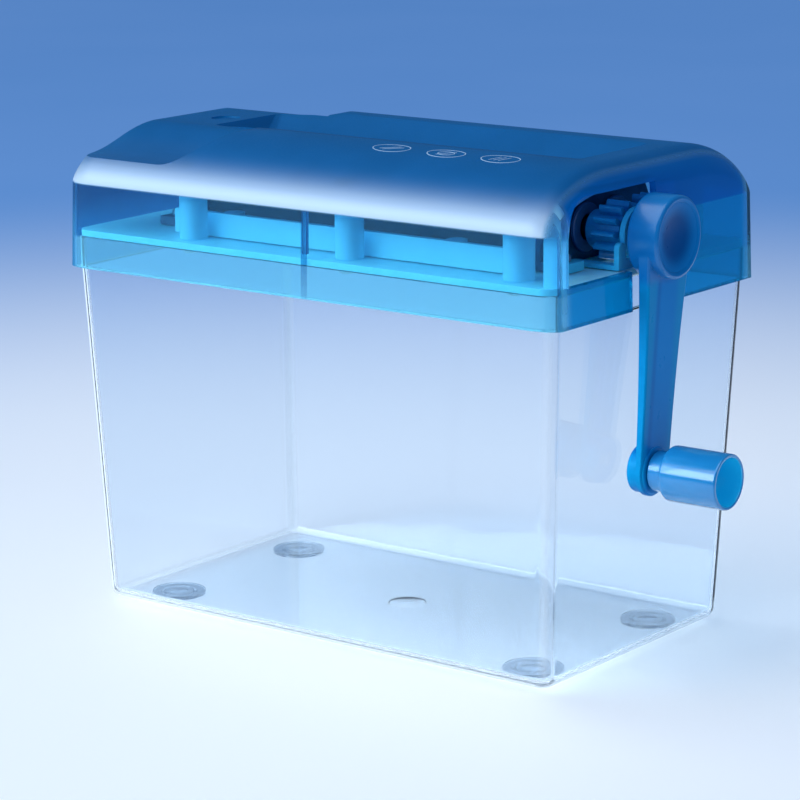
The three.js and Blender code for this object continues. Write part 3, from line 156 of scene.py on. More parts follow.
def turn_z(profile, x, y, steps=64, name="tool"):
    return turned(profile, lambda u, v, w: (x + u, y + v, w), steps, name)


def rod_x(radius, low, high, y, z, steps=48, name="tool"):
    return turn_x([(0, low), (radius, low), (radius, high), (0, high)], y, z, steps, name)


def rod_z(radius, low, high, x, y, steps=48, name="tool"):
    return turn_z([(0, low), (radius, low), (radius, high), (0, high)], x, y, steps, name)


def settle(piece):
    """Applies the modifiers of a piece to its mesh."""
    bpy.context.view_layer.update()
    graph = bpy.context.evaluated_depsgraph_get()
    mesh = bpy.data.meshes.new_from_object(piece.evaluated_get(graph))
    old = piece.data
    piece.modifiers.clear()
    piece.data = mesh
    bpy.data.meshes.remove(old)
    return piece


def combine(piece, tools, operation):
    for tool in tools:
        step = piece.modifiers.new("combine", "BOOLEAN")
        step.operation = operation
        step.solver = "MANIFOLD"
        step.object = tool
    settle(piece)
    for tool in tools:
        mesh = tool.data
        bpy.data.objects.remove(tool)
        bpy.data.meshes.remove(mesh)
    return piece


def cut(piece, *tools):
    return combine(piece, tools, "DIFFERENCE")


def join(piece, *tools):
    return combine(piece, tools, "UNION")


def overlap(piece, *tools):
    return combine(piece, tools, "INTERSECT")


def clean(piece):
    """Merges points that nearly meet, which removes the slivers that cuts leave behind."""
    work = bmesh.new()
    work.from_mesh(piece.data)
    bmesh.ops.remove_doubles(work, verts=work.verts, dist=SLIVER)
    bmesh.ops.dissolve_degenerate(work, edges=work.edges, dist=SLIVER)
    work.to_mesh(piece.data)
    work.free()


def finish_piece(piece, name, nodes, body, material, bevel=0.0, segments=2, sharp=32, merge=True):
    """Rounds the edges, smooths the shading and ties a piece to the frame."""
    if bevel:
        edge = piece.modifiers.new("edges", "BEVEL")
        edge.width = bevel * MM
        edge.segments = segments
        edge.limit_method = "ANGLE"
        edge.angle_limit = math.radians(sharp)
        edge.use_clamp_overlap = True
        settle(piece)
    piece.name = name
    piece.data.name = name
    if merge:
        clean(piece)
    piece.data.shade_smooth()
    piece.data.set_sharp_from_angle(angle=math.radians(sharp))
    weighted = piece.modifiers.new("normals", "WEIGHTED_NORMAL")
    weighted.keep_sharp = True
    weighted.weight = 80
    piece.data.materials.clear()
    piece.data.materials.append(material)
    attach(piece, body)
    if nodes:
        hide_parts(*nodes)
    return piece


# ---------------------------------------------------------------- materials
class Paint:
    """Builds one node material; values are numbers, colours or sockets of other nodes."""

    def __init__(self, name):
        self.material = bpy.data.materials.new(name)
        self.material.use_nodes = True
        self.tree = self.material.node_tree
        self.shader = self.tree.nodes["Principled BSDF"]

    def feed(self, value, socket):
        if isinstance(value, bpy.types.NodeSocket):
            self.tree.links.new(value, socket)
        else:
            socket.default_value = (*value, 1.0) if socket.type == "RGBA" else value

    def add(self, kind, **values):
        return self.set(self.tree.nodes.new("ShaderNode" + kind), **values)

    def set(self, made, **values):
        """Feeds a node's sockets by name; any other name is one of its properties."""
        for key, value in values.items():
            socket = key.replace("_", " ")
            if socket in made.inputs:
                self.feed(value, made.inputs[socket])
            else:
                setattr(made, key.lower(), value)
        return made

    def surface(self, **values):
        self.set(self.shader, **values)

    def point(self):
        return self.add("TexCoord").outputs["Object"]

    def split(self, vector):
        parts = self.add("SeparateXYZ", Vector=vector).outputs
        return parts["X"], parts["Y"], parts["Z"]

    def noise(self, scale, detail=2.0, roughness=0.5, stretch=None):
        point = self.point()
        if stretch:
            point = self.add("Mapping", Vector=point, Scale=stretch).outputs["Vector"]
        made = self.add("TexNoise", Vector=point, Scale=scale, Detail=detail, Roughness=roughness)
        return made.outputs["Fac"]

    def spread(self, value, low, high, start=0.3, end=0.7, kind="LINEAR"):
        """Maps a value's start..end onto low..high."""
        made = self.add("MapRange", Interpolation_Type=kind, Value=value)
        return self.set(made, From_Min=start, From_Max=end, To_Min=low, To_Max=high).outputs["Result"]

    def rise(self, value, start, end, high=1.0):
        return self.spread(value, 0.0, high, start, end, "SMOOTHSTEP")

    def fall(self, value, start, end, high=1.0, low=0.0):
        return self.spread(value, high, low, start, end, "SMOOTHSTEP")

    def band(self, value, edges, soft):
        """1 between two edges, 0 outside."""
        low, high = edges
        before_end = self.fall(value, high - soft, high + soft)
        return self.product(self.rise(value, low - soft, low + soft), before_end)

    def cloud(self, scale=60, detail=3, roughness=0.55):
        return self.spread(self.noise(scale, detail, roughness), 0.0, 1.0)

    def mix(self, factor, first, second):
        """Blends two colours."""
        made = self.add("Mix", Data_Type="RGBA", Factor=factor)
        self.feed(first, made.inputs[6])
        self.feed(second, made.inputs[7])
        return made.outputs[2]

    def level(self, factor, first, second):
        """Blends two numbers."""
        made = self.add("Mix", Data_Type="FLOAT", Factor=factor)
        self.feed(first, made.inputs[2])
        self.feed(second, made.inputs[3])
        return made.outputs[0]

    def maths(self, operation, *values):
        made = self.add("Math", Operation=operation)
        for value, socket in zip(values, made.inputs):
            self.feed(value, socket)
        return made.outputs["Value"]

    def product(self, first, second):
        return self.maths("MULTIPLY", first, second)

    def larger(self, first, second):
        return self.maths("MAXIMUM", first, second)

    def size(self, value):
        return self.maths("ABSOLUTE", value)

    def length(self, across, up):
        vector = self.add("CombineXYZ", Y=across, Z=up).outputs["Vector"]
        made = self.add("VectorMath", Operation="LENGTH")
        self.feed(vector, made.inputs[0])
        return made.outputs["Value"]

    def bump(self, height, strength, distance):
        made = self.add("Bump", Height=height, Strength=strength, Distance=distance)
        self.surface(Normal=made.outputs["Normal"])

    def let_lamps_through(self, tint):
        """Lamps reach what is behind clear plastic instead of stopping at it."""
        made = self.add("MixShader")
        pane = self.add("BsdfTransparent", Color=tint).outputs["BSDF"]
        shadow = self.add("LightPath").outputs["Is Shadow Ray"]
        for source, socket in zip((shadow, self.shader.outputs["BSDF"], pane), made.inputs):
            self.feed(source, socket)
        self.feed(made.outputs["Shader"], self.tree.nodes["Material Output"].inputs["Surface"])


CORNER_START, CORNER_FULL = -3.6 * MM, -2.6 * MM
BOTTOM_EDGE = (0.0030, 0.0046)
# Painted highlight: how much less clear the bin is on its corners and bottom edge, more at a grazing angle.
EDGE_CLEAR = 0.80
RIM_FACING = (0.42, 0.66)
RIM_PAINTED_HAZE = 0.72
PLASTIC_IOR = 1.4


def bin_edges(paint):
    """1 on the four upright corners and round the bottom edge of the bin, 0 on its flat walls."""
    x, y, height = paint.split(paint.point())
    beside = []
    for value, middle, low, high in zip((x, y), (FRAME_X * MM, 0.0), BIN_LOW_HALF, BIN_HIGH_HALF):
        reach = paint.size(paint.maths("SUBTRACT", value, middle))
        slope = (high - low) / (COVER_BOTTOM - BIN_UNDERSIDE)
        from_wall = paint.maths("SUBTRACT", reach, paint.product(height, slope))
        beside.append(paint.rise(from_wall, low * MM + CORNER_START, low * MM + CORNER_FULL))
    foot = paint.product(paint.fall(height, *BOTTOM_EDGE), paint.larger(*beside))
    return paint.larger(paint.product(*beside), foot)


def clear_plastic(name, tint, roughness, waviness, lamp_tint, painted_pale_edges=False):
    paint = Paint(name)
    clear = 1.0
    if painted_pale_edges:
        # Painted highlight: on the bin's corners and bottom edge the plastic is made less clear, most at a
        # grazing angle, so its pale colour shows as a bright edge.
        edges = bin_edges(paint)
        facing = paint.add("LayerWeight", Blend=0.5).outputs["Facing"]
        painted_rim = paint.product(edges, paint.rise(facing, *RIM_FACING))
        clear = paint.spread(edges, 1.0, EDGE_CLEAR, 0.0, 1.0)
        clear = paint.maths("SUBTRACT", clear, paint.product(painted_rim, RIM_PAINTED_HAZE))
    rough = paint.spread(paint.noise(420, 6, 0.7), roughness, roughness + 0.05, 0.55, 0.8)
    paint.surface(Base_Color=tint, IOR=PLASTIC_IOR, Transmission_Weight=clear, Roughness=rough)
    paint.bump(paint.noise(28, 1), waviness, 0.0006)
    paint.let_lamps_through(lamp_tint)
    return paint.material


def solid_plastic(name, dark, light, roughness, glow=0.0):
    """Moulded plastic: cloudy colour, fine grain, and a little light passing under the surface."""
    paint = Paint(name)
    rough = paint.spread(paint.noise(260, 5, 0.65), roughness - 0.05, roughness + 0.08)
    paint.surface(Base_Color=paint.mix(paint.cloud(), dark, light), Roughness=rough, IOR=1.49)
    paint.surface(Subsurface_Weight=glow, Subsurface_Radius=(0.3, 0.7, 1.0), Subsurface_Scale=0.004)
    paint.bump(paint.noise(900, 2), 0.08, 0.0002)
    return paint.material


def metal(name, dark, light, roughness, stretch, scale=900):
    paint = Paint(name)
    lines = paint.noise(scale, 4, 0.6, stretch)
    rough = paint.spread(paint.noise(140, 5, 0.6), roughness - 0.08, roughness + 0.12)
    colour = paint.mix(paint.spread(lines, 0.0, 1.0), dark, light)
    paint.surface(Base_Color=colour, Metallic=1.0, Roughness=rough, Anisotropic=0.4)
    paint.bump(lines, 0.15, 0.0001)
    return paint.material


FROST_LINE = COVER_SHOULDER * MM
DECK_LINE = DECK[0] * MM
ARC_TOP = FROST_LINE + 0.0125
FROST_END = (82.0 + FRAME_X) * MM
FROST_FADE = 0.0015
LEFT_END = (-82.9 + FRAME_X) * MM
INSIDE_X = ((-78.0 + FRAME_X) * MM, (76.0 + FRAME_X) * MM)
INSIDE_Y = (-0.0475, 0.0475)
RIB_X = ((0.9 + FRAME_X) * MM, (3.1 + FRAME_X) * MM)
RIB_FACE = (0.0486, 0.0489)
FLANGE_X = ((78.2 + FRAME_X) * MM, (83.9 + FRAME_X) * MM)
FLANGE_Y = (-0.0456, -0.0436)
CORNER_Y = (0.0420, 0.0460)
SOFT = 0.0003
SIDE_TINT, SKIRT_TINT = (0.30, 0.69, 0.85), (0.31, 0.74, 0.88)
MILKY_TINT, RIB_TINT = (0.36, 0.76, 0.90), (0.01, 0.16, 0.36)
FROST_TINTS = (0.004, 0.135, 0.36), (0.007, 0.16, 0.42)
# Pale colour of the painted highlight low on the frosted arch.
PAINTED_SHEEN_TINT = (0.60, 0.73, 0.82)
# Painted shade: deep blues of the right end of the cover, darker above the frost line.
END_SKIRT_SHADE, END_WALL_SHADE = (0.004, 0.40, 0.72), (0.001, 0.185, 0.56)
# Painted shade: blues of the left end of the band, darker towards the frost line.
LEFT_LOW_SHADE, LEFT_HIGH_SHADE = (0.06, 0.42, 0.70), (0.002, 0.13, 0.36)
GLOSS_TINT, DEEP_GLOSS_TINT = (0.12, 0.60, 1.0), (0.05, 0.5, 1.0)
CLEAR_LAMP_TINT, FROST_LAMP_TINT = (0.80, 0.93, 1.0), (0.12, 0.28, 0.45)


def cover_plastic():
    """Tinted plastic, glossy round the sides and finely frosted above the frost line; a pale painted highlight
    lies low on the frosted arch, and both ends are painted darker as painted shade.
    """
    paint = Paint("tinted_cover")
    x, y, height = paint.split(paint.point())
    beside = paint.size(y)
    above = paint.rise(height, FROST_LINE - 0.0002, FROST_LINE + 0.0006)
    frosted = paint.product(above, paint.fall(x, FROST_END - FROST_FADE, FROST_END + FROST_FADE))
    skirt = paint.fall(height, DECK_LINE - 0.0004, DECK_LINE + 0.0004)

    inside = paint.product(paint.band(x, INSIDE_X, SOFT), paint.band(y, INSIDE_Y, SOFT))
    flange = paint.product(paint.band(x, FLANGE_X, SOFT), paint.band(y, FLANGE_Y, SOFT))
    boss = paint.larger(paint.product(inside, paint.band(height, (DECK_LINE, FROST_LINE), 0.0005)), flange)
    rib = paint.product(paint.band(x, RIB_X, 0.0001), paint.spread(beside, 1.0, 0.0, *RIB_FACE))
    side = paint.mix(skirt, SIDE_TINT, SKIRT_TINT)
    side = paint.mix(boss, side, MILKY_TINT)
    side = paint.mix(rib, side, RIB_TINT)

    # Painted highlight: low on the frosted arch, where the surface faces sideways, the colour turns pale and
    # the plastic less clear, standing in for a sheen of light.
    upward = paint.split(paint.add("TexCoord").outputs["Normal"])[2]
    painted_sheen = paint.product(paint.fall(height, FROST_LINE - 0.0020, ARC_TOP), paint.fall(upward, 0.55, 0.97))
    painted_sheen = paint.product(frosted, painted_sheen)
    top = paint.mix(paint.cloud(40, 3, 0.5), *FROST_TINTS)
    colour = paint.mix(frosted, side, paint.mix(painted_sheen, top, PAINTED_SHEEN_TINT))

    # Painted shade: the right end of the cover is painted deep blue and made less clear, darkest above the
    # frost line.
    shaded_end = paint.rise(x, FROST_END - FROST_FADE, FROST_END + FROST_FADE)
    shaded_end = paint.product(shaded_end, paint.fall(beside, *CORNER_Y, low=0.15))
    colour = paint.mix(shaded_end, colour, paint.mix(above, END_SKIRT_SHADE, END_WALL_SHADE))
    # Painted shade: the left end of the band below the frost line is painted a deeper blue, darker higher up,
    # and made less clear.
    shaded_left_end = paint.fall(x, LEFT_END - SOFT, LEFT_END + SOFT)
    shaded_left_end = paint.product(shaded_left_end, paint.spread(height, 1.0, 0.0, FROST_LINE, FROST_LINE + 0.001))
    left_shade_blue = paint.mix(paint.rise(height, DECK_LINE, FROST_LINE - 0.002), LEFT_LOW_SHADE, LEFT_HIGH_SHADE)
    paint.surface(Base_Color=paint.mix(shaded_left_end, colour, left_shade_blue), IOR=PLASTIC_IOR)

    clear = paint.level(skirt, 0.97, 0.80)
    clear = paint.level(boss, clear, 0.25)
    clear = paint.level(paint.larger(shaded_end, shaded_left_end), clear, paint.spread(above, 0.72, 0.50, 0.0, 1.0))
    clear = paint.level(frosted, clear, paint.spread(painted_sheen, 0.45, 0.08, 0.0, 1.0))
    grain = paint.noise(2600, 2)
    rough = paint.level(frosted, paint.level(boss, 0.04, 0.5), paint.spread(grain, 0.38, 0.5))
    paint.surface(Transmission_Weight=clear, Roughness=rough)
    gloss = paint.mix(shaded_end, GLOSS_TINT, DEEP_GLOSS_TINT)
    paint.surface(Specular_Tint=paint.mix(frosted, gloss, DEEP_GLOSS_TINT))
    low_arc = paint.product(frosted, paint.fall(height, FROST_LINE + 0.004, ARC_TOP, 0.6))
    paint.surface(Coat_Weight=low_arc, Coat_Roughness=0.40, Coat_IOR=1.8)
    paint.bump(paint.level(frosted, 0.5, grain), 0.25, 0.00012)
    paint.let_lamps_through(paint.mix(frosted, CLEAR_LAMP_TINT, FROST_LAMP_TINT))
    return paint.material


def set_plastic(paint, colour, roughness):
    """Glossy blue plastic of the moving parts."""
    rough = paint.spread(paint.noise(260, 5, 0.65), roughness - 0.04, roughness + 0.06)
    paint.surface(Base_Color=colour, Roughness=rough, IOR=1.49, Specular_Tint=(0.05, 0.55, 1.0))
    paint.bump(paint.noise(900, 2), 0.05, 0.0002)


ARM_LIT_EDGE = (0.0032, 0.0068)
ARM_LINE = (0.0040, 0.0016)
HUB_END = (-0.0130, -0.0095)
SHADED_DISH_RADIUS = (0.0045, 0.0095)
SHADED_DISH_X = (0.0790, 0.0795)
HUB_SIDE_RADIUS = (0.0098, 0.0106)


def crank_plastic():
    """Deep blue plastic: the thin edges of the arm are painted lighter than its middle and the hub is painted
    darker, painted light standing in for light passing through the thin plastic.
    """
    paint = Paint("crank_blue")
    x, y, z = paint.split(paint.point())
    across = paint.maths("SUBTRACT", y, FRONT_Y * MM)
    down = paint.maths("SUBTRACT", z, SHAFT_Z * MM)
    along_tilt = paint.product(down, math.sin(CRANK_TILT))
    sideways = paint.maths("ADD", paint.product(across, math.cos(CRANK_TILT)), along_tilt)
    # A darker line of colour along the arm, 4 mm to one side of its middle; the arm's shape has no groove
    # there.
    groove = paint.size(paint.maths("ADD", sideways, ARM_LINE[0]))
    groove = paint.fall(groove, 0.0, ARM_LINE[1])
    cloud = paint.cloud()
    # Painted light: lighter blue towards the arm's thin edges and darker blue on the hub stand in for light
    # passing through the plastic.
    middle = paint.mix(cloud, (0.001, 0.20, 0.52), (0.003, 0.23, 0.57))
    hub = paint.mix(cloud, (0.002, 0.155, 0.42), (0.004, 0.18, 0.47))
    arm = paint.mix(paint.rise(paint.size(sideways), *ARM_LIT_EDGE), middle, (0.003, 0.26, 0.53))
    arm = paint.mix(paint.product(groove, 0.6), arm, (0.001, 0.125, 0.40))
    colour = paint.mix(paint.fall(down, *HUB_END), hub, arm)
    radius = paint.length(across, down)
    # Painted shade: the hollow dish on the hub's face is painted a darker blue.
    face = paint.product(paint.fall(radius, *SHADED_DISH_RADIUS), paint.rise(x, *SHADED_DISH_X))
    set_plastic(paint, paint.mix(face, colour, (0.0, 0.065, 0.23)), 0.3)
    hub_side = paint.product(paint.rise(radius, *HUB_SIDE_RADIUS, 0.8), paint.rise(down, *HUB_END))
    paint.surface(IOR=1.3, Coat_Weight=hub_side, Coat_Roughness=0.22)
    return paint.material


HOLLOW_RADIUS = (0.00662, 0.00685)
HOLLOW_X = (0.0832, 0.0840)


def knob_plastic():
    """Blue plastic, painted lighter inside the hollow of the knob, with a faint painted glow there, standing in
    for light that comes through the wall.
    """
    paint = Paint("knob_blue")
    x, y, z = paint.split(paint.point())
    axis_y = FRONT_Y + CRANK_RADIUS * math.sin(CRANK_TILT)
    axis_z = SHAFT_Z - CRANK_RADIUS * math.cos(CRANK_TILT)
    radius = paint.length(paint.maths("SUBTRACT", y, axis_y * MM), paint.maths("SUBTRACT", z, axis_z * MM))
    # Painted light: the inside of the hollow is painted a lighter blue and given a faint glow.
    painted_glow_hollow = paint.product(paint.fall(radius, *HOLLOW_RADIUS), paint.rise(x, *HOLLOW_X))
    outside = paint.mix(paint.cloud(), (0.008, 0.19, 0.46), (0.014, 0.24, 0.53))
    set_plastic(paint, paint.mix(painted_glow_hollow, outside, (0.02, 0.50, 0.80)), 0.2)
    paint.surface(Coat_Weight=1.0, Coat_Roughness=0.12, Coat_IOR=1.62)
    paint.surface(Emission_Color=(0.0, 0.30, 0.55), Emission_Strength=paint.product(painted_glow_hollow, 0.25))
    return paint.material


CRADLE_X = (0.0515, 0.0535)
# Painted shade: navy stands in for the dark inside of the head.
SHADE_NAVY = (0.001, 0.03, 0.09), (0.002, 0.045, 0.12)


def carrier_plastic():
    """Light blue beyond the gears, where the bearing cradle is, and navy on the inner plate as painted shade.
    """
    paint = Paint("carrier_blue")
    cloud = paint.cloud()
    light = paint.mix(cloud, (0.05, 0.50, 0.72), (0.07, 0.56, 0.78))
    # The inner plate, behind the gears, is painted navy as painted shade.
    outer = paint.rise(paint.split(paint.point())[0], *CRADLE_X)
    set_plastic(paint, paint.mix(outer, paint.mix(cloud, *SHADE_NAVY), light), 0.38)
    paint.surface(Subsurface_Weight=0.1, Subsurface_Radius=(0.2, 0.7, 1.0), Subsurface_Scale=0.002)
    return paint.material


CLEAR = clear_plastic("clear_bin", (0.89, 0.94, 0.985), 0.015, 0.06, (0.93, 0.965, 1.0), True)
FOOT = clear_plastic("clear_foot", (0.86, 0.92, 0.97), 0.08, 0.2, (0.88, 0.93, 0.97))
COVER = cover_plastic()
LIGHT_BLUE = solid_plastic("light_blue", (0.34, 0.76, 0.88), (0.40, 0.82, 0.91), 0.34, glow=0.2)
# Painted shade: the side plate and paper guide are navy, standing in for the dark inside of the head.
SHADE_NAVY_PLASTIC = solid_plastic("inner_navy_painted_shade", *SHADE_NAVY, 0.4)
CRANK_BLUE = crank_plastic()
KNOB_BLUE = knob_plastic()
GEAR_BLUE = solid_plastic("gear_blue", (0.003, 0.21, 0.46), (0.008, 0.28, 0.54), 0.34, glow=0.08)
CARRIER_BLUE = carrier_plastic()
# Painted shade: the combs are near black, standing in for the dark inside of the head.
COMB_SHADE_BLACK = solid_plastic("comb_black_painted_shade", (0.003, 0.012, 0.028), (0.006, 0.020, 0.042), 0.5)
MARK_WHITE = solid_plastic("mark_print", (0.34, 0.50, 0.66), (0.42, 0.58, 0.74), 0.45)
# Painted shade: the steel of the cutters is darkened to a deep blue-black, standing in for the dark inside of
# the head.
CUTTER_SHADED_STEEL = metal("cutter_steel", (0.004, 0.016, 0.036), (0.016, 0.045, 0.085), 0.36, (1.0, 0.05, 0.05))
SCREW_STEEL = metal("screw_steel", (0.42, 0.43, 0.46), (0.68, 0.69, 0.71), 0.3, (1, 1, 1), 1500)
NYLON = solid_plastic("bush_nylon", (0.008, 0.07, 0.20), (0.014, 0.10, 0.27), 0.42, glow=0.1)


# ---------------------------------------------------------------- bin and feet
BIN_SHOULDER = 101.1
BIN_RIM_STEP = 0.4
BIN_RIM_TOP = 110.2
BIN_WALL = 1.8
BIN_CORNER = 4.5
BIN_BOTTOM_ROUND = 3.5
BIN_GATE = [(0, 0), (5.5, 0), (5.5, 1.7), (5.1, 1.9), (0, 1.9)]


def bin_rings(inset):
    rings = []
    span = COVER_BOTTOM - BIN_UNDERSIDE
    grow = [(high - low) / span for low, high in zip(BIN_LOW_HALF, BIN_HIGH_HALF)]
    curve = BIN_BOTTOM_ROUND - inset

    def ring(z, extra, size_z):
        half = [low + g * (size_z - BIN_UNDERSIDE) - inset - extra for low, g in zip(BIN_LOW_HALF, grow)]
        rings.append(rounded_ring(z, half[0], half[1], BIN_CORNER - inset - extra, 14))

    for cosine, sine in arc(10):
        z = BIN_UNDERSIDE + inset + curve * (1 - cosine)
        ring(z, curve * (1 - sine), z)
    ring(BIN_SHOULDER, 0, BIN_SHOULDER)
    ring(BIN_SHOULDER + BIN_RIM_STEP, BIN_RIM_STEP, BIN_SHOULDER)
    ring(BIN_RIM_TOP + (PAST if inset else 0), BIN_RIM_STEP, BIN_SHOULDER)
    return rings


def make_bin():
    tub = cut(loft(bin_rings(0)), loft(bin_rings(BIN_WALL)))
    cut(tub, turn_z(BIN_GATE, 0, 0, 48))
    finish_piece(tub, "clear_bin_tub", ["bin"], "bin_body", CLEAR, 0.35, 3)


def make_foot(name, cad_node):
    low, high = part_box(cad_node)
    x = (low[0] + high[0]) / 2 / MM - FRAME_X
    y = (low[1] + high[1]) / 2 / MM
    profile = [
        (0, 0.45), (1.6, 0.42), (2.4, 0.25), (2.8, 0), (4.1, 0), (4.4, 0.3), (5.2, 0.3), (5.5, 0),
        (7.5, 0), (7.85, 0.15), (8, 0.5), (8, 0.95), (7.85, 1.2), (5.9, 1.2), (5.6, 1.0), (4.9, 1.0),
        (4.6, 1.2), (0, 1.2),
    ]
    foot = turn_z(profile, x, y, 56)
    finish_piece(foot, name, [cad_node], "bin_body", FOOT, 0, sharp=40)


# ---------------------------------------------------------------- head cover
COVER_HALF = (86.0, 50.85)
COVER_DRAFT = 0.6
COVER_TOP = 141.8
FLAT_HALF = 20.0
COVER_ROUND = 8.8
COVER_CORNER = 4.0
COVER_WALL = 2.0
SCOOP_FLOOR = 133.3
SCOOP_X = (-54.0, -40.5)
SCOOP_Y = (43.0, 16.0)
SCOOP_POWER = 2.4
SCOOP_SKEW = 1.35
PLATFORM_TOP = 140.6
RAMP_X = (-58.0, -30.0)
RECESS_X = (-60.0, 71.0)
RECESS_HALF = 17.5
RECESS_FLOOR = 136.2
SLOT_X = (-50.0, 60.0)
SLOT_HALF = 2.6
COVER_SCREWS = [(x, y) for x in (-44.0, 12.0, 68.0) for y in (-41.0, 41.0)]
SCREW_HOLE = 1.7
BOSS_RADIUS = 4
BOSS_TOP = 134
RIB = [(1.25, 113.6), (2.75, 113.6), (2.9, 140), (1.1, 140)]
RIB_THICK = 1.6
DIMPLE = [(0, 140.2), (2.0, 140.15), (3.4, 139.95), (4.1, 140.15), (4.5, 140.8), (4.5, 143), (0, 143)]
DIMPLE_PLACE = (-66, -1)
FLANGE_DEPTH = (78.5, 84)
FLANGE_WIDTH = 1.2
OPENING_Y = (-44.0, -2.0)
OPENING_Z = (112.3, 135.2)
OPENING_CORNER = 11.0
NOTCH_HALF = 7.0
NOTCH_TOP = 129.0


def arch_section(across, up, bottom, steps=26):
    reach = COVER_HALF[1] - COVER_DRAFT - FLAT_HALF
    rise = COVER_TOP - COVER_SHOULDER
    side = [(COVER_HALF[1] - across, bottom)]
    for i in range(1, 5):
        t = i / 5
        y = COVER_HALF[1] - COVER_DRAFT * t - across
        side.append((y, bottom + (COVER_SHOULDER - bottom) * t))
    for cosine, sine in arc(steps):
        normal = Vector((rise * cosine, reach * sine)).normalized()
        y = FLAT_HALF + reach * cosine - across * normal[0]
        side.append((y, COVER_SHOULDER + rise * sine - up * normal[1]))
    return side + [(-y, z) for y, z in reversed(side)]


def arch_solid(inset, bottom):
    """Arched section run along X; its ends are drawn in, more at the top than at the corners."""
    curve = COVER_ROUND - inset
    corner = COVER_CORNER - inset
    straight = COVER_HALF[0] - COVER_ROUND
    stations = [(straight * i / 6, inset, inset) for i in range(1, 6)]
    for cosine, sine in arc(12):
        drawn = 1 - cosine
        stations.append((straight + curve * sine, inset + corner * drawn, inset + curve * drawn))
    mirrored = [(-x, across, up) for x, across, up in reversed(stations)]
    rings = []
    for x, across, up in mirrored + [(0.0, inset, inset)] + stations:
        ring = []
        for y, z in arch_section(across, up, bottom):
            lean = 1 - COVER_DRAFT / COVER_HALF[0] * (z - COVER_BOTTOM) / (COVER_SHOULDER - COVER_BOTTOM)
            ring.append((x * lean, y, z))
        rings.append(ring)
    return loft(rings)


def smooth_step(t):
    return t * t * (3 - 2 * t)


def scoop_solid(side, thick):
    top = COVER_TOP + PAST
    left = -COVER_HALF[0] - PAST
    edge = -COVER_HALF[1] - PAST
    floor = SCOOP_FLOOR - thick
    along = [(left, top), (left, floor), (SCOOP_X[0] + thick, floor)]
    across = [(edge, top), (edge, floor), (-SCOOP_Y[0] + thick, floor)]
    for i in range(1, 19):
        t = i / 18
        x = SCOOP_X[0] + thick + t * (SCOOP_X[1] - SCOOP_X[0])
        y = -SCOOP_Y[0] + thick + t * (SCOOP_Y[0] - SCOOP_Y[1])
        along.append((x, floor + (COVER_TOP - SCOOP_FLOOR) * t ** SCOOP_POWER))
        across.append((y, floor + (PLATFORM_TOP - SCOOP_FLOOR) * smooth_step(t ** SCOOP_SKEW)))
    along.append((SCOOP_X[1] + thick, top))
    across.append((-SCOOP_Y[1] + thick, top))
    if side > 0:
        across = [(-y, z) for y, z in across]
    return overlap(prism_y(along, edge, -edge), prism_x(across, left, SCOOP_X[1] + PAST))


def recess_solid(thick):
    middle = (RECESS_X[0] + RECESS_X[1]) / 2
    half_x = (RECESS_X[1] - RECESS_X[0]) / 2
    depth = COVER_TOP - RECESS_FLOOR
    low = rounded_ring(RECESS_FLOOR - thick, half_x - 5 + thick, 6 + thick, 2, 6, middle)
    high = rounded_ring(COVER_TOP - thick, half_x + thick, RECESS_HALF + thick, 2, 6, middle)
    over = rounded_ring(COVER_TOP + PAST, half_x + thick, RECESS_HALF + thick, 2, 6, middle)
    return loft([low, high, over])


def platform_solid(thick):
    """Everything above the low platform and above the ramp from it up to the flat top."""
    left = -COVER_HALF[0] - PAST
    over = COVER_TOP + PAST
    points = [(RAMP_X[1], over), (left, over), (left, PLATFORM_TOP - thick)]
    for i in range(17):
        t = i / 16
        x = RAMP_X[0] + t * (RAMP_X[1] - RAMP_X[0])
        points.append((x, PLATFORM_TOP + (COVER_TOP - PLATFORM_TOP) * smooth_step(t) - thick))
    return prism_y(points, -COVER_HALF[1], COVER_HALF[1])


def opening_outline(grow):
    """Outline of the gear opening, grown outwards along its left side and top."""
    corner = OPENING_CORNER + grow
    points = [(OPENING_Y[1], OPENING_Z[0]), (OPENING_Y[1], OPENING_Z[1] + grow)]
    for cosine, sine in arc(16, 1, 2):
        y = OPENING_Y[0] + OPENING_CORNER + corner * cosine
        points.append((y, OPENING_Z[1] - OPENING_CORNER + corner * sine))
    points.append((OPENING_Y[0] - grow, OPENING_Z[0]))
    return points


def opening_tools():
    low, high = COVER_HALF[0] - COVER_WALL - 2 * COVER_DRAFT, COVER_HALF[0] + PAST
    notch = [(FRONT_Y - NOTCH_HALF, COVER_BOTTOM - PAST), (FRONT_Y + NOTCH_HALF, COVER_BOTTOM - PAST)]
    for cosine, sine in arc(16, 0, 2):
        notch.append((FRONT_Y + NOTCH_HALF * cosine, NOTCH_TOP - NOTCH_HALF + NOTCH_HALF * sine))
    return [prism_x(opening_outline(0), low, high), prism_x(notch, low, high)]


def opening_flange():
    low, high = FLANGE_DEPTH
    ring = prism_x(opening_outline(FLANGE_WIDTH), low, high)
    return cut(ring, prism_x(opening_outline(0), low - 1.5, high + 1))


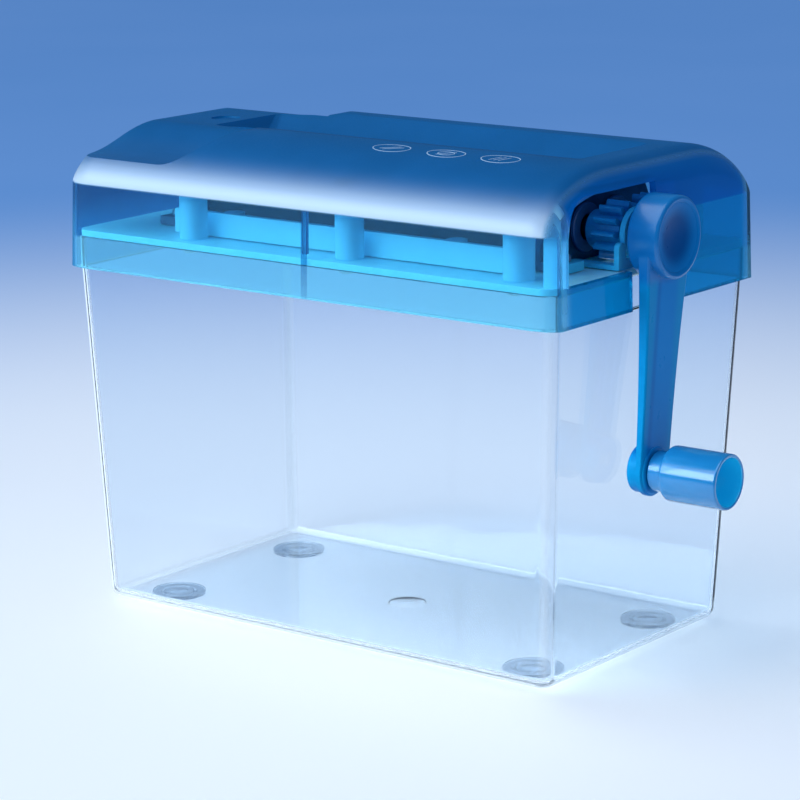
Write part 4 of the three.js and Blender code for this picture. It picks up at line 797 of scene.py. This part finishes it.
def make_cover():
    def hollows(thick):
        return [scoop_solid(-1, thick), scoop_solid(1, thick), recess_solid(thick), platform_solid(thick)]

    outer = cut(arch_solid(0, COVER_BOTTOM), *hollows(0))
    inner = cut(arch_solid(COVER_WALL, COVER_BOTTOM - PAST), *hollows(COVER_WALL))
    extras = [rod_z(BOSS_RADIUS, DECK[1] + GAP, BOSS_TOP, x, y, 40) for x, y in COVER_SCREWS]
    for side in (-1, 1):
        near = side * (COVER_HALF[1] - 1)
        far = side * (COVER_HALF[1] - COVER_WALL - RIB_THICK)
        extras.append(prism_y(RIB, min(near, far), max(near, far)))
    shape = outer.copy()
    shape.data = outer.data.copy()
    bpy.context.scene.collection.objects.link(shape)
    cut(outer, inner)
    extras.append(opening_flange())
    inside = extras[0]
    for extra in extras[1:]:
        join(inside, extra)
    overlap(inside, shape)
    join(outer, inside)
    tools = [block(*SLOT_X, NIP_Y - SLOT_HALF, NIP_Y + SLOT_HALF, 122, COVER_TOP)]
    tools += opening_tools()
    tools.append(turn_z(DIMPLE, *DIMPLE_PLACE, 48))
    tools += [rod_z(SCREW_HOLE, DECK[1] - PAST, 121, x, y, 24) for x, y in COVER_SCREWS]
    cut(outer, *tools)
    finish_piece(outer, "tinted_head_cover", ["top_cover"], "head", COVER, 0.4, 3, 28)


make_bin()
for place in ("front_left", "front_right", "back_left", "back_right"):
    make_foot("clear_foot_" + place, "foot_" + place)
make_cover()


# ---------------------------------------------------------------- deck, housing and frames
PLATE_BOTTOM = DECK[1] + GAP
POST_XS, POST_Y = (-36.0, 42.0), 32.6
HOUSING_SCREWS = [(x, y) for x in POST_XS for y in (-POST_Y, POST_Y)]
HOUSING_TOP = 119.5
PLATE_SCREWS = [(x, y) for x in (-62.5, 70.0) for y in (NIP_Y - 25, NIP_Y + 25)]
PLATE_LEFT, PLATE_RIGHT, PLATE_THICK = -58, 62.5, 3
PLATE_FOOT_HALF, PLATE_HEAD_HALF = 29.5, 22.5
PLATE_SHOULDER, PLATE_TOP = 118.8, 131.3
PAD_SIZE, PAD_TOP = (10, 9), 2.5
BEARING_HOLE = 5.5
ROD_REACH = 19.3
ROD_Z = 116.8
ROD_HOLE = 2.3
CRADLE = (81.5, 83.1)
CRADLE_BEAM_TOP = 115.4
CRADLE_HORN = (15.1, 1.7, 118.3)
CRADLE_ARM_TOP = 113.9
GUIDE_Z = (132.4, 133.6)
GUIDE_LIP = 0.8


def make_deck():
    plate = loft([rounded_ring(z, 83.2, 48, 4.5, 12) for z in DECK])
    low, high = DECK[0] - 1, DECK[1] + 1
    tools = [
        block(-53, 60, NIP_Y - 14, NIP_Y + 14, low, high),
        block(70.5, 80.4, FRONT_Y - 5.5, BACK_Y + 5.5, low, high),
        block(82.4, 85, FRONT_Y - 7, FRONT_Y + 7, low, high),
    ]
    tools += [rod_z(SCREW_HOLE, low, high, x, y, 24) for x, y in COVER_SCREWS + HOUSING_SCREWS + PLATE_SCREWS]
    cut(plate, *tools)
    finish_piece(plate, "deck_tray", ["deck_plate"], "head", LIGHT_BLUE, 0.25)


def make_housing(side, name, cad_node):
    outer, inner, back = side * 36.5, side * 34.5, side * 29.5
    plan = [
        (-55, outer), (61.5, outer), (61.5, back), (59.5, back), (59.5, inner), (-53, inner), (-53, back),
        (-55, back),
    ]
    wall = prism_z(plan, PLATE_BOTTOM, HOUSING_TOP)
    join(wall, *[rod_z(3, PLATE_BOTTOM, HOUSING_TOP, x, side * POST_Y, 40) for x in POST_XS])
    cut(wall, *[rod_z(SCREW_HOLE, PLATE_BOTTOM - 1, 118.3, x, side * POST_Y, 24) for x in POST_XS])
    finish_piece(wall, name, [cad_node], "head", LIGHT_BLUE, 0.3)


def plate_with_pads(left, pad_left):
    foot, head = PLATE_FOOT_HALF, PLATE_HEAD_HALF
    points = [
        (NIP_Y - foot, PLATE_BOTTOM), (NIP_Y + foot, PLATE_BOTTOM), (NIP_Y + foot, PLATE_SHOULDER),
        (NIP_Y + head, PLATE_TOP), (NIP_Y - head, PLATE_TOP), (NIP_Y - foot, PLATE_SHOULDER),
    ]
    plate = prism_x(points, left, left + PLATE_THICK)
    pad_right, pad_top = pad_left + PAD_SIZE[0], PLATE_BOTTOM + PAD_TOP
    for side in (-1, 1):
        outer = NIP_Y + side * foot
        inner = outer - side * PAD_SIZE[1]
        join(plate, block(pad_left, pad_right, min(outer, inner), max(outer, inner), PLATE_BOTTOM, pad_top))
    before, after = left - 1, left + PLATE_THICK + 1
    tools = [rod_x(BEARING_HOLE, before, after, y, SHAFT_Z) for y in (FRONT_Y, BACK_Y)]
    tools += [rod_x(ROD_HOLE, before, after, NIP_Y + side * ROD_REACH, ROD_Z, 32) for side in (-1, 1)]
    tools += [rod_z(SCREW_HOLE, PLATE_BOTTOM - 1, 132, x, y, 24) for x, y in PLATE_SCREWS]
    return cut(plate, *tools)


def make_frames():
    left = plate_with_pads(PLATE_LEFT, -67)
    finish_piece(left, "side_plate", ["side_plate_left"], "head", SHADE_NAVY_PLASTIC, 0.3)
    frame_piece = plate_with_pads(PLATE_RIGHT, 64.5)
    low, high = CRADLE
    reach, half, top = CRADLE_HORN
    parts = [
        block(low, high, NIP_Y - 16.8, NIP_Y + 16.8, PLATE_BOTTOM, CRADLE_BEAM_TOP),
        block(low, high, FRONT_Y - 4, FRONT_Y + 4, PLATE_BOTTOM, SHAFT_Z),
        rod_x(7, low, high, FRONT_Y, SHAFT_Z, 64),
    ]
    for side in (-1, 1):
        middle = NIP_Y + side * reach
        parts.append(block(low, high, middle - half, middle + half, PLATE_BOTTOM, top))
        parts.append(rod_x(half, low, high, middle, top, 32))
        parts.append(block(63.5, 82.5, middle - half, middle + half, PLATE_BOTTOM, CRADLE_ARM_TOP))
    for part in parts:
        join(frame_piece, part)
    cut(frame_piece, rod_x(4.9, 80, 85, FRONT_Y, SHAFT_Z))
    finish_piece(frame_piece, "gear_carrier", ["gear_frame"], "head", CARRIER_BLUE, 0.25)


def make_guide():
    plate = block(-58, 65.5, NIP_Y - 13, NIP_Y + 13, *GUIDE_Z)
    reach = SLOT_HALF + GUIDE_LIP
    join(plate, block(SLOT_X[0] - GUIDE_LIP, SLOT_X[1] + GUIDE_LIP, NIP_Y - reach, NIP_Y + reach, 130.9, 133.5))
    cut(plate, block(*SLOT_X, NIP_Y - SLOT_HALF, NIP_Y + SLOT_HALF, 129, 135))
    finish_piece(plate, "paper_guide", ["feed_guide"], "head", SHADE_NAVY_PLASTIC, 0.2)


# ---------------------------------------------------------------- rollers, gears and bearings
DISC_START = -53.5
DISC_PITCH = 12.7
DISC_WIDTH = 5.8
DISC_COUNT = 9
JOURNAL = 3.2
FLAT = 2.4
DISC_RADIUS, DISC_TOOTH, DISC_TEETH = 7.7, 0.45, 36
CORE_RADIUS = 6.2
GEAR_TEETH = 12
GEAR_MODULE = 1.2
GEAR_FACE = (73.2, 80.3)
COMB_HALF = 3


def toothed_disc(y, radius, depth, teeth):
    points = []
    for i in range(teeth):
        for share, size in ((0.0, radius), (0.3, radius), (0.5, radius - depth), (0.75, radius - depth)):
            angle = (i + share) * 2 * math.pi / teeth
            points.append((y + size * math.cos(angle), SHAFT_Z + size * math.sin(angle)))
    return points


def make_roller(name, cad_node, body, y, first, shaft_end):
    core_end = DISC_START + DISC_COUNT * DISC_PITCH - GAP
    core = turn_x([
        (0, -62.2), (2.9, -62.2), (JOURNAL, -61.9), (JOURNAL, -61.4), (2.4, -61.4), (2.4, -60), (JOURNAL, -60),
        (JOURNAL, DISC_START - GAP), (CORE_RADIUS, DISC_START - GAP), (CORE_RADIUS, core_end),
        (JOURNAL, core_end),
        (JOURNAL, shaft_end - 0.3), (JOURNAL - 0.3, shaft_end), (0, shaft_end),
    ], y, SHAFT_Z, 72)
    outline = toothed_disc(y, DISC_RADIUS, DISC_TOOTH, DISC_TEETH)
    starts = [first + i * DISC_PITCH for i in range(DISC_COUNT)]
    join(core, *[prism_x(outline, start, start + DISC_WIDTH) for start in starts])
    tools = [block(69, shaft_end + 1, y - 9, y + 9, SHAFT_Z + FLAT, SHAFT_Z + 9)]
    if body == "crank":
        tools.append(rod_x(1.7, shaft_end - 8, shaft_end + 1, y, SHAFT_Z, 24))
    cut(core, *tools)
    finish_piece(core, name, [cad_node], body, CUTTER_SHADED_STEEL, 0.12, 1, 25)


def flatted_circle(y, radius, flat):
    start = math.acos(flat / radius)
    points = []
    for i in range(41):
        angle = start + i / 40 * (2 * math.pi - 2 * start)
        points.append((y + radius * math.sin(angle), SHAFT_Z + radius * math.cos(angle)))
    return points


def gear_points(y, turn, radial_steps=6):
    pitch = GEAR_TEETH * GEAR_MODULE / 2
    pressure = math.radians(20)
    base = pitch * math.cos(pressure)
    tip = pitch + 0.9 * GEAR_MODULE
    half = (math.pi * GEAR_MODULE / 2 - GAP) / 2 / pitch + math.tan(pressure) - pressure
    flank = [(pitch - 1.3 * GEAR_MODULE, half)]
    for i in range(radial_steps + 1):
        radius = base + (tip - base) * i / radial_steps
        angle = math.acos(min(1, base / radius))
        flank.append((radius, half - math.tan(angle) + angle))
    points = []
    for tooth in range(GEAR_TEETH):
        centre = turn + tooth * 2 * math.pi / GEAR_TEETH
        both = [(r, centre - a) for r, a in flank] + [(r, centre + a) for r, a in reversed(flank)]
        points += [(y + r * math.cos(a), SHAFT_Z + r * math.sin(a)) for r, a in both]
    return points


def make_gear(name, cad_node, body, y, turn):
    gear = prism_x(gear_points(y, turn), *GEAR_FACE)
    join(gear, rod_x(5.2, 69.4, 74.2, y, SHAFT_Z))
    groove = [(4.2, 79.7), (4.9, 79.7), (5.1, 80.8), (4.0, 80.8), (4.2, 79.7)]
    cut(gear, turn_x(groove, y, SHAFT_Z, 64))
    cut(gear, prism_x(flatted_circle(y, JOURNAL + GAP, FLAT + GAP), 68, 82))
    finish_piece(gear, name, [cad_node], body, GEAR_BLUE, 0.2, 2, 35)


def make_bush(name, cad_node, left, thick, y, body_radius, side):
    inner = left - GAP if side > 0 else left + thick + GAP
    outer = left + thick + GAP if side > 0 else left - GAP
    flange = inner - side * 1.0
    wide = body_radius + 1.6
    bore = JOURNAL + GAP
    mid = (flange + inner) / 2
    bush = turn_x([
        (bore, flange + side * 0.2), (bore + 0.2, flange), (wide - 0.25, flange), (wide, flange + side * 0.25),
        (wide, mid), (wide, inner), (body_radius, inner), (body_radius, outer - side * 0.3),
        (body_radius - 0.3, outer), (bore, outer), (bore, flange + side * 0.2),
    ], y, SHAFT_Z, 56)
    finish_piece(bush, name, [cad_node], "head", NYLON)


def make_retaining_ring(name, cad_node, body, y):
    ring = turn_x([(2.7, -61.1), (5.2, -61.1), (5.2, -60.3), (2.7, -60.3), (2.7, -61.1)], y, SHAFT_Z, 56)
    tools = [block(-62, -59, y - 2.4, y + 2.4, SHAFT_Z - 7, SHAFT_Z)]
    for angle in (math.radians(75), math.radians(200), math.radians(-20)):
        tools.append(rod_x(1.0, -62, -59, y + 3.3 * math.cos(angle), SHAFT_Z + 3.3 * math.sin(angle), 24))
    cut(ring, *tools)
    finish_piece(ring, name, [cad_node], body, SCREW_STEEL, 0.12, 2, 35)


def make_comb(name, cad_node, side):
    rod_y = NIP_Y + side * ROD_REACH
    low, high = ROD_Z - COMB_HALF, ROD_Z + COMB_HALF
    left, right = rod_y - COMB_HALF, rod_y + COMB_HALF
    bar = prism_x([(left, low), (right, low), (right, high), (left, high)], -54.4, 61.9)
    first = DISC_START + DISC_WIDTH if side < 0 else DISC_START
    fingers = []
    for i in range(DISC_COUNT):
        middle = first + (DISC_PITCH - DISC_WIDTH) / 2 + i * DISC_PITCH
        root, tip = rod_y - side * 2, rod_y - side * 5.7
        wedge = [(root, ROD_Z - 0.4), (tip, ROD_Z + 0.8), (tip, high - GAP), (root, high - GAP)]
        fingers.append(prism_x(wedge, middle - 2.5, middle + 2.5))
    join(bar, *fingers)
    cut(bar, rod_x(ROD_HOLE, -56, 63, rod_y, ROD_Z, 32))
    finish_piece(bar, name, [cad_node], "head", COMB_SHADE_BLACK, 0.25)


def make_tie_rod(name, cad_node, side):
    y = NIP_Y + side * ROD_REACH
    rod = turn_x([(0, -59), (1.7, -59), (2, -58.7), (2, 66.2), (1.7, 66.5), (0, 66.5)], y, ROD_Z, 40)
    finish_piece(rod, name, [cad_node], "head", SCREW_STEEL)


# ---------------------------------------------------------------- crank and knob
KNOB_Z = SHAFT_Z - CRANK_RADIUS
ARM_BACK, ARM_FRONT = 90.0, 93.4
ARM_FOOT = 7.2
ARM_FLARE = 3.7
ARM_ROUND = 0.8
ARM_SKIN = 1.6
DISH_RIM = 9.37
PIN_HOLE = 2.3


def swing(piece, angle=CRANK_TILT):
    """Turns a piece about the shaft line from hanging straight down to its resting tilt."""
    pivot = Matrix.Translation(Vector((0, FRONT_Y, SHAFT_Z)) * MM)
    piece.data.transform(pivot @ Matrix.Rotation(angle, 4, "X") @ pivot.inverted())
    return piece


def arm_points(trim):
    """The arm flares out towards the hub and ends in a half circle about the knob."""
    foot = ARM_FOOT - trim
    flare = [(foot + ARM_FLARE * (1 - i / 24) ** 2, SHAFT_Z - CRANK_RADIUS * i / 24) for i in range(24)]
    points = [(FRONT_Y - half, z) for half, z in flare]
    points += [(FRONT_Y + foot * cosine, KNOB_Z + foot * sine) for cosine, sine in arc(24, 2, 4)]
    return points + [(FRONT_Y + half, z) for half, z in reversed(flare)]


def cross_x(low, high, z, long, short):
    """Two blocks that cut a cross into the head of a pin or screw on the front line."""
    sizes = ((long, short), (short, long))
    return [block(low, high, FRONT_Y - a, FRONT_Y + a, z - b, z + b) for a, b in sizes]


def slimmed(piece):
    """Makes the arm thinner towards the knob, with its back face kept flat."""
    for vert in piece.data.vertices:
        drop = (SHAFT_Z - vert.co.z / MM) / CRANK_RADIUS
        depth = (vert.co.x / MM - FRAME_X - ARM_BACK) * (1 - 0.5 * drop)
        vert.co.x = (ARM_BACK + depth + FRAME_X) * MM
    return piece


def make_crank():
    layers = []
    for cosine, sine in arc(6):
        trim = ARM_ROUND * (1 - cosine)
        face = ARM_FRONT - ARM_ROUND * (1 - sine)
        layers.append([(face, u, v) for u, v in arm_points(trim)])
    arm = loft([[(ARM_BACK, u, v) for u, v in arm_points(0)]] + layers)
    cut(arm, prism_x(arm_points(ARM_SKIN), ARM_BACK - 1, ARM_FRONT - ARM_SKIN))
    join(arm, block(ARM_BACK + 1, ARM_FRONT - 0.8, FRONT_Y - 0.7, FRONT_Y + 0.7, KNOB_Z, SHAFT_Z))
    slimmed(arm)
    hub = turn_x([
        (0, 86.3), (10.4, 86.3), (10.9, 86.45), (11.2, 86.8), (11.3, 87.3), (11.3, 94.9), (11.2, 95.4),
        (10.9, 95.8), (10.4, 96), (10.1, 95.95), (9.8, 95.8), (9.4, 95.6), (0, 95.6),
    ], FRONT_Y, SHAFT_Z, 96)
    boss = turn_x([
        (0, 86.6), (6.1, 86.6), (6.5, 86.8), (6.6, 87.2), (6.6, 91.8), (6.4, 92.1), (6.1, 92.2), (0, 92.2),
    ], FRONT_Y, KNOB_Z, 72)
    join(arm, hub, boss)
    bore = swing(prism_x(flatted_circle(FRONT_Y, JOURNAL + GAP, FLAT + GAP), 85.8, 91.6), -CRANK_TILT)
    cut(arm, bore, rod_x(9.4, 90.6, 97, FRONT_Y, SHAFT_Z, 96), rod_x(PIN_HOLE, 85, 95, FRONT_Y, KNOB_Z, 40))
    swing(arm)
    finish_piece(arm, "crank_handle", ["crank_arm"], "crank", CRANK_BLUE, 0.35, 3, 28, False)


def make_hub_cap():
    profile = [(0, 93), (9.3, 93), (DISH_RIM, 93.2), (DISH_RIM, 95.58)]
    for i in range(1, 17):
        t = i / 16
        profile.append((DISH_RIM * (1 - t), 95.6 - 1.5 * math.sin(t * math.pi / 2)))
    cap = turn_x(profile, FRONT_Y, SHAFT_Z, 80)
    finish_piece(cap, "hub_cover_disc", ["hub_cap"], "crank", CRANK_BLUE)


def make_knob():
    knob = turn_x([
        (PIN_HOLE, 92.6), (5.2, 92.6), (5.5, 92.7), (5.6, 93), (5.6, 96.7), (5.7, 97.1), (5.95, 97.2),
        (6.9, 97.2), (7.3, 97.35), (7.55, 97.7), (7.65, 98.2), (7.65, 114.4), (7.6, 114.75), (7.4, 115),
        (6.95, 115), (6.7, 114.85), (6.55, 114.5), (6.5, 98.8), (6.2, 98.4), (4.4, 98.4), (4.4, 101.8),
        (4.2, 102), (PIN_HOLE, 102), (PIN_HOLE, 92.6),
    ], FRONT_Y, KNOB_Z, 96)
    swing(knob)
    finish_piece(knob, "turning_knob", ["knob"], "knob_body", KNOB_BLUE)
    pin = turn_x([
        (0, 87.4), (1.8, 87.4), (2, 87.6), (2, 103.2), (3.4, 103.2), (3.4, 104.3), (3.1, 104.8), (2.4, 105),
        (0, 105),
    ], FRONT_Y, KNOB_Z, 48)
    cut(pin, *cross_x(104.2, 106, KNOB_Z, 1.7, 0.35))
    swing(pin)
    finish_piece(pin, "knob_shoulder_pin", ["knob_pin"], "crank", SCREW_STEEL, 0.08, 2, 35)
    section = [(PIN_HOLE, 102.3), (4, 102.3), (4, 102.9), (PIN_HOLE, 102.9), (PIN_HOLE, 102.3)]
    washer = swing(turn_x(section, FRONT_Y, KNOB_Z, 48))
    finish_piece(washer, "knob_thrust_washer", ["knob_washer"], "crank", SCREW_STEEL, 0.1, 2, 35)


# ---------------------------------------------------------------- screws
SCREW_PITCH = 0.9


def screw_profile(tip, head, away, shank=1.4, wide=2.8, tall=1.6):
    """Ridged shank from tip to head, then a rounded pan head."""
    root = shank - 0.3
    profile = [(0, tip), (0.7, tip), (root, tip + away * 0.7)]
    turns = max(2, int((abs(head - tip) - 1.5) / SCREW_PITCH))
    for i in range(turns):
        at = tip + away * (0.8 + SCREW_PITCH * i)
        profile += [(root, at), (shank, at + away * 0.35), (shank, at + away * 0.5), (root, at + away * 0.85)]
    profile += [(root, head), (wide, head), (wide, head + away * tall * 0.5)]
    for cosine, sine in arc(5)[1:]:
        profile.append((wide * (0.75 + 0.25 * cosine), head + away * tall * (0.5 + 0.5 * sine)))
    return profile + [(0, head + away * tall)]


def make_screw(name, cad_node, x, y, head, tip):
    away = 1 if head > tip else -1
    top = head + away * 1.6
    screw = turn_z(screw_profile(tip, head, away), x, y, 28)
    low, high = sorted((top - away * 0.8, top + away))
    cut(screw, *[block(x - a, x + a, y - b, y + b, low, high) for a, b in ((1.5, 0.3), (0.3, 1.5))])
    finish_piece(screw, name, [cad_node], "head", SCREW_STEEL, sharp=40)


def make_crank_screw():
    screw = turn_x(screw_profile(83.3, 90.9, 1, wide=4.8), FRONT_Y, SHAFT_Z, 40)
    cut(screw, *cross_x(91.7, 93.4, SHAFT_Z, 2, 0.4))
    finish_piece(screw, "crank_fixing_screw", ["crank_screw"], "crank", SCREW_STEEL, sharp=40)


# ---------------------------------------------------------------- printed ovals on the head
MARK_XS, MARK_Y = (15.5, 34.0, 52.0), -27.0
RIM_LINE, THIN_LINE = 0.24, 0.22


def arch_height(y):
    reach = COVER_HALF[1] - COVER_DRAFT - FLAT_HALF
    over = max(0.0, abs(y) - FLAT_HALF) / reach
    return COVER_SHOULDER + (COVER_TOP - COVER_SHOULDER) * math.sqrt(1 - over * over)


def ribbon(points, width, closed):
    """A flat printed line that lies on the arch, following (x, y) points."""
    verts, faces = [], []
    count = len(points)
    for i, (x, y) in enumerate(points):
        before = points[(i - 1) % count] if closed or i else points[i]
        after = points[(i + 1) % count] if closed or i < count - 1 else points[i]
        along = Vector((after[0] - before[0], after[1] - before[1])).normalized()
        side = Vector((-along.y, along.x)) * width / 2
        for px, py in ((x + side.x, y + side.y), (x - side.x, y - side.y)):
            for lift in (-0.12, 0.05):
                verts.append((px, py, arch_height(py) + lift))
    for i in range(count if closed else count - 1):
        a, b = i * 4, (i + 1) % count * 4
        for p, q in ((0, 1), (1, 3), (3, 2), (2, 0)):
            faces.append((a + p, b + p, b + q, a + q))
    if not closed:
        end = (count - 1) * 4
        faces += [(0, 1, 3, 2), (end, end + 2, end + 3, end + 1)]
    return verts, faces


def oval(cx, cy, half_x, half_y, steps=56):
    angles = [i * 2 * math.pi / steps for i in range(steps)]
    return [(cx + half_x * math.cos(angle), cy + half_y * math.sin(angle)) for angle in angles]


def segment(x0, y0, x1, y1):
    return [(x0 + (x1 - x0) * i / 6, y0 + (y1 - y0) * i / 6) for i in range(7)]


def make_marks():
    y = MARK_Y
    strokes = [(oval(x, y, 6.0, 3.4), RIM_LINE, True) for x in MARK_XS]
    strokes.append((segment(12.2, y - 1.2, 17.6, y + 1.6), THIN_LINE, False))
    strokes.append((segment(13.6, y - 1.8, 19.0, y + 1.0), THIN_LINE, False))
    strokes.append((oval(MARK_XS[1], y, 2.6, 1.5, 40), THIN_LINE, True))
    strokes.append((segment(31.6, y - 1.6, 36.4, y + 1.6), THIN_LINE, False))
    for i in range(3):
        strokes.append((segment(49.2 + i * 1.6, y - 1.6, 51.2 + i * 1.6, y + 1.6), THIN_LINE, False))
    verts, faces = [], []
    for points, width, closed in strokes:
        more_verts, more_faces = ribbon(points, width, closed)
        base = len(verts)
        verts += more_verts
        faces += [tuple(base + i for i in face) for face in more_faces]
    marks = mesh_piece("marks", verts, faces)
    finish_piece(marks, "printed_oval_marks", [], "head", MARK_WHITE)


make_deck()
make_housing(-1, "housing_wall_front", "housing_front")
make_housing(1, "housing_wall_back", "housing_back")
make_frames()
make_guide()
make_roller("steel_cutter_front", "cutter_roller_front", "crank", FRONT_Y, DISC_START, 90.3)
make_roller("steel_cutter_back", "cutter_roller_back", "back_roller", BACK_Y, DISC_START + DISC_PITCH / 2, 81.2)
make_gear("crank_spur_gear", "drive_gear", "crank", FRONT_Y, 0)
make_gear("follower_spur_gear", "driven_gear", "back_roller", BACK_Y, math.pi / GEAR_TEETH)
for side_name, bearing_y, turning_body in (("front", FRONT_Y, "crank"), ("back", BACK_Y, "back_roller")):
    for end, left, toward in (("left_", PLATE_LEFT, 1), ("right_", PLATE_RIGHT, -1)):
        place = end + side_name
        make_bush("bearing_" + place, "bush_" + place, left, PLATE_THICK, bearing_y, 5.2, toward)
    make_retaining_ring("e_ring_" + side_name, "retaining_ring_" + side_name, turning_body, bearing_y)
make_bush("bearing_outer", "bush_outer", CRADLE[0], 1.6, FRONT_Y, 4.6, -1)
for side_name, side_sign in (("front", -1), ("back", 1)):
    make_comb("comb_" + side_name, "stripper_comb_" + side_name, side_sign)
    make_tie_rod("steel_rod_" + side_name, "tie_rod_" + side_name, side_sign)
make_crank()
make_hub_cap()
make_knob()
make_crank_screw()
for group, places, head_z, tip_z in (
    ("cover_screw_", COVER_SCREWS, DECK[0] - GAP, 119),
    ("housing_screw_", HOUSING_SCREWS, DECK[0] - GAP, 118),
    ("plate_screw_", PLATE_SCREWS, PLATE_BOTTOM + 2.8, 108.6),
):
    for number, (screw_x, screw_y) in enumerate(places, 1):
        cad_name = group + str(number)
        make_screw("pan_" + cad_name, cad_name, screw_x, screw_y, head_z, tip_z)
make_marks()


# ---------------------------------------------------------------- camera, floor and light
def aim(obj, target):
    direction = Vector(target) - obj.location
    obj.rotation_euler = direction.to_track_quat("-Z", "Y").to_euler()


CAMERA_PLACE = Vector((528.0 + FRAME_X, -699.9, 262.9)) * MM
CAMERA_TURN = (37.174, 12.816, -0.379)
CAMERA_LENS = 139.87
LAMP_AIM = (0, 0, 0.08)


def add_camera():
    yaw, pitch, roll = (math.radians(angle) for angle in CAMERA_TURN)
    ahead = Vector((-math.sin(yaw) * math.cos(pitch), math.cos(yaw) * math.cos(pitch), -math.sin(pitch)))
    right = Vector((math.cos(yaw), math.sin(yaw), 0))
    up = right.cross(ahead)
    side = right * math.cos(roll) + up * math.sin(roll)
    top = up * math.cos(roll) - right * math.sin(roll)
    data = bpy.data.cameras.new("camera")
    data.sensor_width = 36
    data.lens = CAMERA_LENS
    data.clip_end = 50
    camera = bpy.data.objects.new("camera", data)
    columns = Matrix((side, top, -ahead)).transposed().to_4x4()
    columns.translation = CAMERA_PLACE
    camera.matrix_world = columns
    bpy.context.scene.collection.objects.link(camera)
    bpy.context.scene.camera = camera


FLOOR_BLEND = (0.17, 0.85)
FLOOR_HALF = 6.0


def add_floor():
    """Pale floor: almost white round the object and a pale blue far away."""
    paint = Paint("pale_floor")
    far = paint.add("VectorMath", Operation="LENGTH")
    paint.feed(paint.point(), far.inputs[0])
    away = paint.rise(far.outputs["Value"], *FLOOR_BLEND)
    patches = paint.cloud(3, 2, 0.5)
    near = paint.mix(patches, (0.93, 0.94, 0.955), (0.945, 0.955, 0.965))
    distant = paint.mix(patches, (0.13, 0.32, 0.67), (0.15, 0.34, 0.69))
    paint.surface(Base_Color=paint.mix(away, near, distant), Roughness=0.6)
    half = FLOOR_HALF
    mesh = bpy.data.meshes.new("floor")
    corners = [(-half, -half, 0), (half, -half, 0), (half, half, 0), (-half, half, 0)]
    mesh.from_pydata(corners, [], [(0, 1, 2, 3)])
    mesh.materials.append(paint.material)
    floor = bpy.data.objects.new("floor", mesh)
    bpy.context.scene.collection.objects.link(floor)


def add_lamp(kind, name, place, target, power, colour=(1, 1, 1), **settings):
    data = bpy.data.lights.new(name, kind)
    for key, value in dict(settings, energy=power, color=colour).items():
        setattr(data, key, value)
    lamp = bpy.data.objects.new(name, data)
    lamp.location = place
    aim(lamp, target)
    bpy.context.scene.collection.objects.link(lamp)


def add_light():
    world = bpy.data.worlds.new("studio")
    world.use_nodes = True
    back = world.node_tree.nodes["Background"]
    back.inputs["Color"].default_value = (0.16, 0.40, 0.80, 1)
    back.inputs["Strength"].default_value = 0.40
    bpy.context.scene.world = world
    flat = {"shape": "RECTANGLE"}
    add_lamp("SUN", "soft_sun", (-0.5, -0.6, 1.6), (0, 0, 0), 1.75, angle=math.radians(60))
    add_lamp("AREA", "key", (-0.75, -1.05, 0.55), LAMP_AIM, 12, (0.88, 0.96, 1.0), size=0.9, size_y=0.6, **flat)
    add_lamp("AREA", "fill", (1.3, -0.3, 0.7), LAMP_AIM, 3, size=0.8, size_y=0.8, **flat)
    bpy.context.scene.view_settings.view_transform = "Standard"


add_camera()
add_floor()
add_light()
